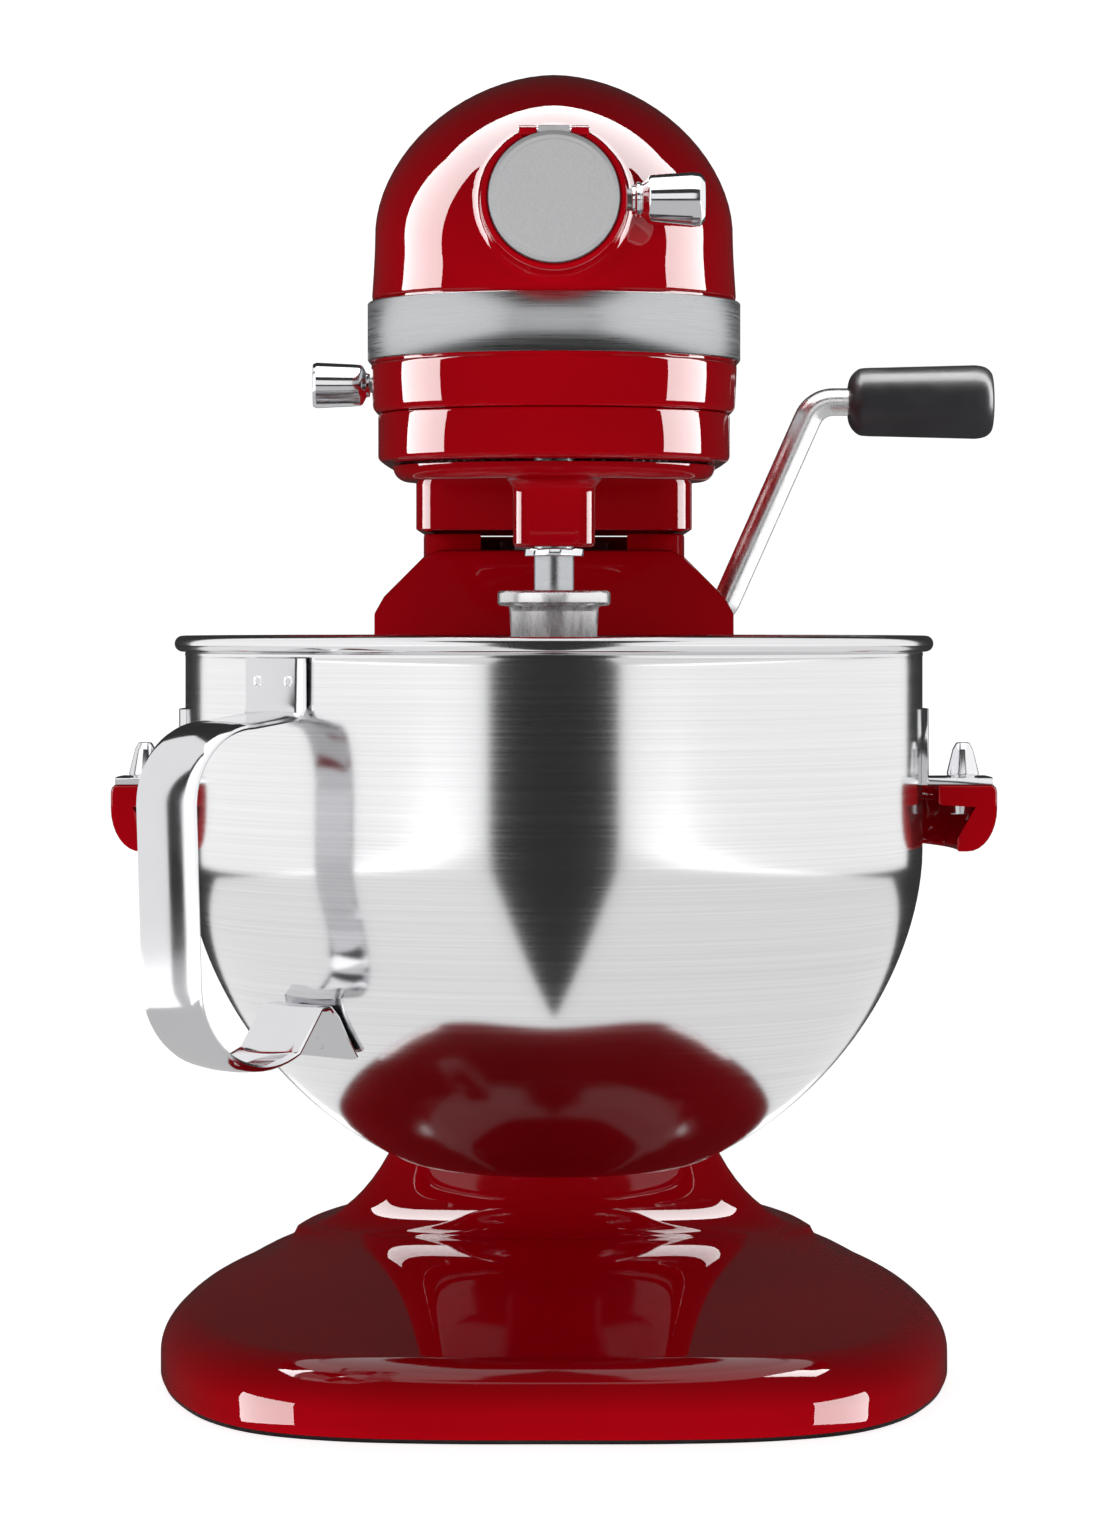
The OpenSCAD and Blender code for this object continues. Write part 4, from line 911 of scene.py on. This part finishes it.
def bowl_handle(mat):
    """Polished strap with a plate welded to the wall above and a foot below."""
    reach = 166 - STRAP_T / 2
    line = [(BOWL_R + 1.3, 229), (BOWL_R + 1.3, 226), (BOWL_R + 1.3, 215.5), (BOWL_R + 1.5, 213.4),
            (BOWL_R + 2.4, 211.8), (BOWL_R + 4, 211.1), (BOWL_R + 6, 211)]
    line += [(reach - 24 + 24 * math.cos(a), 185 + 24 * math.sin(a))
             for a in [math.radians(90 - 6 * k) for k in range(16)]]
    line += [(reach - 29 + 27 * math.cos(a), 132 + 27 * math.sin(a))
             for a in [math.radians(-6 * k) for k in range(21)]]
    low = bowl_outer(121)
    line += [(low + 6.5, 121.4), (low + 3, 121.6), (bowl_outer(118) + 1.6, 118.5)]
    line += [(bowl_outer(z) + 1.5, z) for z in (112, 106)]
    half_w, half_t, edge, crown = STRAP_W / 2 - 0.3, STRAP_T / 2, 0.7, 1.1
    stations = [half_w * (k / 8 - 1) for k in range(17)]
    outside = [(a, half_t + edge * 0.6 * (abs(a) == half_w) * -1) for a in stations[::-1]]
    inside = [(a, -half_t + edge * 0.6 * (abs(a) == half_w)) for a in stations]
    section = inside + [(half_w + 0.3, 0)] + outside + [(-half_w - 0.3, 0)]
    rings = []
    last = len(line) - 1
    for i, (r, z) in enumerate(line):
        ahead, behind = line[min(i + 1, last)], line[max(i - 1, 0)]
        dr, dz = ahead[0] - behind[0], ahead[1] - behind[1]
        size = math.hypot(dr, dz)
        nr, nz = -dz / size, dr / size
        arch = crown * min(1, i / 6, (last - i) / 6)
        bow = [arch * (0.5 - (a / half_w) ** 2) for a, _ in section]
        rings.append([handle_point(r + (b + c) * nr, a, z + (b + c) * nz) for (a, b), c in zip(section, bow)])
    finish_piece(loft("handle_strap", rings), mat, "bowl_carrier", "bowl_handle")
    face = STRAP_T / 2 - 0.05
    slope = (bowl_outer(112) - bowl_outer(106)) / 6
    marks = [weld_mark(BOWL_R + 1.3 + face, across, 222, 0) for across in (-7, 7)]
    marks.append(weld_mark(bowl_outer(110) + 1.5 + face * 1.1, 0, 110, slope))
    finish_piece(join("weld_marks", *marks), mat, "bowl_carrier", slot="polished")


def weld_mark(r, across, z, slope, radius=2.0, depth=0.3):
    """Shallow ring left by a spot weld, facing out from the bowl's wall, which leans by slope."""
    rings = []
    for share, out in ((1, -0.2), (0.94, depth * 0.8), (0.86, depth), (0.7, depth * 0.7), (0.5, 0.05),
                       (0.02, 0.05)):
        size = share * radius
        rings.append([handle_point(r + out + slope * size * math.sin(a), across + size * math.cos(a),
                                   z + size * math.sin(a))
                      for a in [2 * math.pi * k / 32 for k in range(32)]])
    return loft("weld_mark", rings)


# ---- Bowl support ----

def bowl_support(mat):
    """Yoke: two arms swept round the bowl, and the plate that slides on the column."""
    low_z = ARM_FOOT
    across, drop = 9.5, 14
    section = [(ARM_IN, ARM_TOP - 6), (ARM_IN, ARM_TOP - 0.9), (ARM_IN + 0.26, ARM_TOP - 0.26),
               (ARM_IN + 0.9, ARM_TOP), (ARM_OUT - 2.4, ARM_TOP), (ARM_OUT - 1.1, ARM_TOP - 0.35),
               (ARM_OUT - 0.35, ARM_TOP - 1.1), (ARM_OUT, ARM_TOP - 2.4)]
    section += [(ARM_OUT - across + across * math.cos(a), low_z + drop - drop * math.sin(a))
                for a in [math.pi / 2 * k / 8 for k in range(9)]]
    section += [(ARM_OUT - 12.4, low_z), (ARM_OUT - 13, low_z + 0.6), (ARM_OUT - 13, low_z + 3.5),
                (ARM_OUT - 6, ARM_TOP - 6)]
    begin, end = math.radians(-5.2), math.radians(185.2)
    rings = []
    steps = 128
    for k in range(-3, steps + 4):
        a = begin + (end - begin) * min(steps, max(0, k)) / steps
        pull = {-3: 1.6, -2: 0.5, -1: 0.1, steps + 1: 0.1, steps + 2: 0.5, steps + 3: 1.6}.get(k, 0)
        shift = {-3: 0, -2: 0.35, -1: 0.9, 0: 1.6, steps: -1.6, steps + 1: -0.9, steps + 2: -0.35,
                 steps + 3: 0}.get(k, 0)
        a += shift / ARM_OUT
        mid = ((ARM_IN + ARM_OUT) / 2, (ARM_TOP + low_z) / 2)
        ring = []
        for r, z in section:
            dr, dz = r - mid[0], z - mid[1]
            size = math.hypot(dr, dz)
            r, z = r - dr / size * pull, z - dz / size * pull
            ring.append((r * math.cos(a), r * math.sin(a), z))
        rings.append(ring)
    yoke = loft("support_yoke", rings)
    top = SUPPORT_HIGH[2]
    foot = SUPPORT_LOW[2]
    half = [(0, foot, 0), (60, foot, 2), (63.4, foot + 4, 2), (63.4, 243, 3), (60, 249, 3), (46, 263, 3),
            (41, top, 3), (0, top, 0)]
    plan = fillet(half + [(-x, z, r) for x, z, r in reversed(half[1:-1])], 5)
    y0, y1 = PLATE_Y
    e = 1.3
    rings = []
    for y, pull in ((y0, e), (y0 + 0.35 * e, 0.35 * e), (y0 + e, 0), (y1, 0)):
        rings.append([(x * (1 - pull / 63.4), y, (z - 214) * (1 - pull / 52) + 214) for x, z in plan])
    plate = loft("support_plate", rings)
    cut(yoke, block("behind_plate", (-200, y1, 100), (200, y1 + 60, 300)),
        *[rod("pin_bore", 4.02, (s * 132.8, 0, ARM_TOP - 12), 20, segments=48) for s in (-1, 1)])
    yoke = cut(yoke, plate, operation="UNION")
    for s in (-1, 1):
        cut(yoke, block("rail_groove", (s * 30 - 4.4, y1 - 4, 100), (s * 30 + 4.4, y1 + 15, 300)))
    finish_piece(yoke, mat, "bowl_carrier", "bowl_support")


def locating_pins(mat):
    top = corners("locating_pins")[1][2]
    outline = fillet([(0, ARM_TOP - 10), (4, ARM_TOP - 10, 0.3), (4, ARM_TOP + 2.4, 0),
                      (5.1, ARM_TOP + 2.5, 0.3), (5.2, ARM_TOP + 3.4, 0.5), (3.3, top - 2.2, 1.2),
                      (2.1, top, 0.9), (0, top)], 4)
    pins = [lathe("pin", outline, (s * 132.8, 0, 0), segments=64) for s in (-1, 1)]
    finish_piece(join("locating_pin_pair", *pins), mat, "bowl_carrier", "locating_pins")


# ---- Finishes, one for each of the record's material slots ----

def red_enamel():
    return enamel("red_enamel", (0.42, 0.0005, 0.006), (0.36, 0.0003, 0.004))


def spun_steel():
    """Brushed bowl: fine rings round the axis, so reflections stretch up and down."""
    mat, tree, bsdf = new_material("spun_steel")
    set_inputs(bsdf, {"Metallic": 1.0, "Anisotropic": 0.35})
    tangent = tree.nodes.new("ShaderNodeTangent")
    tangent.direction_type = "RADIAL"
    tangent.axis = "Z"
    link(tree, tangent.outputs["Tangent"], bsdf.inputs["Tangent"])
    rings = noise(tree, 5, 3, 0.6, (1, 1, 320))
    link(tree, colour_ramp(tree, rings, [(0.25, (0.70, 0.70, 0.71)), (0.75, (0.80, 0.80, 0.81))]),
         bsdf.inputs["Base Color"])
    link(tree, remap(tree, rings, 0.12, 0.15), bsdf.inputs["Roughness"])
    bump(tree, bsdf, rings, 0.05, 0.00002)
    return mat


FINISHES = {
    "enamel": red_enamel,
    "bowl_steel": spun_steel,
    "polished": lambda: metal("polished_chrome", (0.88, 0.88, 0.90), 0.10, spread=0.03),
    "band": lambda: metal("brushed_aluminium", (0.80, 0.81, 0.83), 0.30, grain=(0.02, 0.02, 1),
                          grain_scale=2.2, grain_depth=0.00004, spread=0.16, anisotropic=0.4),
    "burnished": lambda: metal("burnished_aluminium", (0.90, 0.90, 0.91), 0.26, grain=(1, 1, 0.25),
                               grain_scale=0.5, grain_depth=0.00001, spread=0.08),
    "machined": lambda: metal("ground_steel", (0.56, 0.57, 0.59), 0.30, grain=(1, 1, 8), grain_scale=0.5,
                              grain_depth=0.00002, spread=0.15),
    "bronze": lambda: metal("sintered_bronze", (0.62, 0.42, 0.20), 0.42, spread=0.2),
    "copper": lambda: metal("varnished_copper", (0.70, 0.32, 0.16), 0.32, grain=(1, 12, 1), grain_scale=0.6,
                            grain_depth=0.00008, spread=0.3),
    "laminations": lambda: metal("stacked_laminations", (0.32, 0.33, 0.35), 0.5, grain=(0.05, 1, 0.05),
                                 grain_scale=1.5, grain_depth=0.0001, spread=0.4),
    "sheet": lambda: metal("zinc_plated_sheet", (0.60, 0.61, 0.64), 0.36, spread=0.18),
    "rubber": lambda: plastic("black_rubber", (0.018, 0.018, 0.020), 0.75),
    "grip": lambda: plastic("charcoal_grip", (0.030, 0.031, 0.035), 0.36, coat=0.12),
    "board": lambda: plastic("circuit_board", (0.02, 0.11, 0.04), 0.4),
    "fan": lambda: plastic("moulded_nylon", (0.70, 0.69, 0.63), 0.5),
}
finishes = {name: make() for name, make in FINISHES.items()}


def satin_disc():
    """Bead-blasted aluminium: matt enough to look an even light grey."""
    mat, tree, bsdf = new_material("satin_disc")
    grit = noise(tree, 1600, 2)
    link(tree, colour_ramp(tree, grit, [(0.3, (0.50, 0.50, 0.51)), (0.7, (0.56, 0.56, 0.57))]),
         bsdf.inputs["Base Color"])
    bsdf.inputs["Metallic"].default_value = 0.3
    link(tree, remap(tree, grit, 0.5, 0.6), bsdf.inputs["Roughness"])
    bump(tree, bsdf, grit, 0.15, 0.00003)
    return mat


SATIN_DISC = satin_disc()


def dress_frame():
    """Gives every CAD node its slot's finish, and eases the edges of those that stay in view."""
    soft_edges = {"rubber_feet": 0.6, "bowl_brackets": 0.35, "bowl_latch_hook": 0.35, "bowl_latch": 0.3,
                  "bottom_plate": 0.3, "mains_inlet": 0.4, "beater_washer": 0.2, "guide_rails": 0.4,
                  "rear_cover_screw": 0.15, "gearcase_screws": 0.15, "bottom_screws": 0.15,
                  "hub_cover_pin": 0.2}
    for part in frame["record"]["subparts"]:
        obj = nodes[part["node"]]
        finish = finishes[part["material_slot"]]
        obj.data.materials.clear()
        obj.data.materials.append(finish)
        obj.data.shade_smooth()
        obj.data.set_sharp_from_angle(angle=math.radians(30))
        if part["node"] in soft_edges:
            soften(obj, soft_edges[part["node"]], 3)


# ---- Stage ----

def backdrop():
    """White floor that sweeps up into a wall behind the mixer, and a dark sheet of painted shadow under the
    base.
    """
    half, front, bend, wall = 4.0, -3.0, 1.2, 3.5
    profile = [(front, 0), (wall - bend, 0)]
    profile += [(wall - bend + bend * math.sin(a), bend * (1 - math.cos(a)))
                for a in [math.pi / 2 * k / 16 for k in range(1, 17)]]
    profile += [(wall, 5.0)]
    verts = [(x / MM, y / MM, z / MM) for y, z in profile for x in (-half, half)]
    faces = [(2 * i, 2 * i + 1, 2 * i + 3, 2 * i + 2) for i in range(len(profile) - 1)]
    obj = make_mesh("backdrop", verts, faces, 60)
    mat, tree, bsdf = new_material("white_paper")
    link(tree, colour_ramp(tree, noise(tree, 3, 2), [(0.3, (0.60, 0.60, 0.60)), (0.7, (0.62, 0.62, 0.62))]),
         bsdf.inputs["Base Color"])
    set_inputs(bsdf, {"Roughness": 0.9, "Emission Color": (1, 1, 1, 1), "Emission Strength": 0.85})
    obj.data.materials.append(mat)
    obj.visible_glossy = False
    # The dark sheet under the base is painted contact shadow: it makes the floor in the gap beneath the
    # casting dark.
    under = pedestal_ring("edge", 0.3, 1.5, 0)
    shade_under = make_mesh("shade_under_base", under, [range(len(under))])
    shade_under.data.materials.append(plastic("painted_contact_shadow", (0.02, 0.008, 0.008), 0.9))


ARCH_Y, ARCH_DEPTH, ARCH_X, ARCH_TOP = 0.09, 0.76, 1.2, 1.5
ARCH_RADIANCE, BASE_RADIANCE = 13, 11


def panel(name, place_at, target, size, radiance):
    """Rectangular light of even radiance aimed at a point, unseen by the camera."""
    light = bpy.data.lights.new(name, "AREA")
    light.shape = "RECTANGLE"
    light.size, light.size_y = size
    light.energy = radiance * math.pi * size[0] * size[1]
    obj = place(bpy.data.objects.new(name, light))
    obj.location = place_at
    obj.rotation_euler = (Vector(target) - Vector(place_at)).to_track_quat("-Z", "Y").to_euler()
    obj.visible_camera = False
    return obj


def facing_pair(name, out, y, z, size, left, right):
    """Two upright panels that face each other across the mixer, with a radiance for each."""
    return [panel(f"{name}_{word}", (side * out, y, z), (0, y, z), size, radiance)
            for side, word, radiance in ((-1, "left", left), (1, "right", right))]


def floor_card(name, side, radiance, lean=math.radians(20), size=(1.3, 4.2)):
    """Card flat on the floor whose inner edge runs out from the front of the base, leaving a dark wedge."""
    along = (side * math.sin(lean), -math.cos(lean))
    outward = (side * math.cos(lean), math.sin(lean))
    x = along[0] * (size[1] / 2 - 0.5) + outward[0] * size[0] / 2
    y = -0.17 + along[1] * (size[1] / 2 - 0.5) + outward[1] * size[0] / 2
    card = panel(name, (x, y, 0.002), (x, y, 1), size, radiance)
    card.rotation_euler = (math.pi, 0, side * lean)
    return card


def lit_only(lights, objects, name):
    """Soft boxes that only the given objects see, as a photographer's cards stand close to one surface."""
    group = bpy.data.collections.new(name)
    for obj in objects:
        group.objects.link(obj)
    for light in lights:
        light.light_linking.receiver_collection = group


def add_lights():
    """An arch of soft boxes edges the gloss, cards light the metal, front lights fill the colour."""
    shown = [obj for obj in bpy.data.objects if obj.type == "MESH" and obj.name != "backdrop"]

    def wearing(*mats):
        return [obj for obj in shown if obj.data.materials and obj.data.materials[0] in mats]

    steel = wearing(finishes["bowl_steel"], finishes["bronze"], finishes["copper"], finishes["laminations"],
                    finishes["machined"], finishes["sheet"])
    chrome = wearing(finishes["polished"], finishes["burnished"])
    satin = wearing(finishes["band"], SATIN_DISC)
    casting = [obj for obj in shown if obj.name.startswith("pedestal_casting")]
    painted = [obj for obj in shown if obj not in steel + chrome + satin + casting]

    arch = facing_pair("arch", ARCH_X, ARCH_Y, 0.81, (ARCH_DEPTH, 1.38), ARCH_RADIANCE, ARCH_RADIANCE)
    top_size = (2 * ARCH_X, ARCH_DEPTH)
    arch.append(panel("arch_top", (0, ARCH_Y, ARCH_TOP), (0, ARCH_Y, 0), top_size, ARCH_RADIANCE))
    lit_only(arch, painted, "painted_pieces")
    cards = facing_pair("base", ARCH_X, -0.45, 0.02, (1.0, 0.7), BASE_RADIANCE, BASE_RADIANCE)
    cards.append(panel("base_top", (0, 0.75, ARCH_TOP), (0, 0.75, 0), (1.5, 0.5), BASE_RADIANCE))
    lit_only(cards, casting, "pedestal_only")
    lit_only(facing_pair("steel", 1.3, -1.1, 1.1, (5.2, 2.2), 1.1, 1.05) + [
        panel("steel_top", (0, 0.2, 2.2), (0, 0.2, 0), (2.6, 2.4), 1.0),
        floor_card("steel_floor_left", -1, 0.9),
        floor_card("steel_floor_right", 1, 0.85),
    ], steel, "steel_pieces")
    lit_only([
        panel("chrome_left_front", (-1.3, -1.75, 0.9), (0, -1.75, 0.9), (2.9, 2.6), 1.15),
        panel("chrome_left_back", (-1.3, 0.85, 0.9), (0, 0.85, 0.9), (1.9, 2.6), 0.8),
        panel("chrome_right", (1.3, -0.6, 0.9), (0, -0.6, 0.9), (4.2, 2.6), 1.0),
        panel("chrome_top", (0, -0.6, 2.0), (0, -0.6, 0), (2.4, 2.6), 1.6),
        panel("chrome_front", (0, -3.2, 1.0), (0, 0, 0.3), (2.2, 1.3), 0.9),
        panel("chrome_floor", (0, -0.8, 0.002), (0, -0.8, 1), (2.4, 3.4), 0.5),
    ], chrome, "chrome_pieces")
    lit_only(facing_pair("satin", 1.3, -0.6, 0.8, (3.6, 2.2), 0.75, 0.75) + [
        panel("satin_front", (0, -2.6, 0.6), (0, 0, 0.35), (2.4, 2.0), 0.5),
    ], satin, "satin_pieces")
    for light in [obj for obj in bpy.data.objects if obj.type == "LIGHT"]:
        light.visible_diffuse = False
    aim = (0, 0, 0.25)
    for light in (panel("front_left", (-1.1, -1.7, 0.3), aim, (1.4, 1.0), 3.9),
                  panel("front_right", (1.2, -1.6, 0.3), aim, (1.4, 1.0), 2.7),
                  panel("overhead", (0, 0.2, 2.4), (0, 0.1, 0), (2.5, 2.0), 0.25)):
        light.visible_glossy = False
    world = bpy.data.worlds.new("world")
    world.use_nodes = True
    background = world.node_tree.nodes["Background"]
    background.inputs["Color"].default_value = (1, 1, 1, 1)
    background.inputs["Strength"].default_value = 0.03
    bpy.context.scene.world = world
    bpy.context.scene.view_settings.view_transform = "Standard"


# ---- Everything together ----

add_camera()
backdrop()
dress_frame()
head_housing(finishes["enamel"])
lower_gearcase(finishes["enamel"])
rear_cover(finishes["enamel"])
trim_band(finishes["band"])
pedestal(finishes["enamel"])
hub_cover(SATIN_DISC)
clamp_knob(finishes["polished"])
speed_knob(finishes["polished"])
lift_lever(finishes["burnished"], finishes["grip"])
planetary_housing(finishes["enamel"])
flat_beater(finishes["burnished"])
bowl(finishes["bowl_steel"])
bowl_handle(finishes["polished"])
bowl_support(finishes["enamel"])
locating_pins(finishes["polished"])
add_lights()
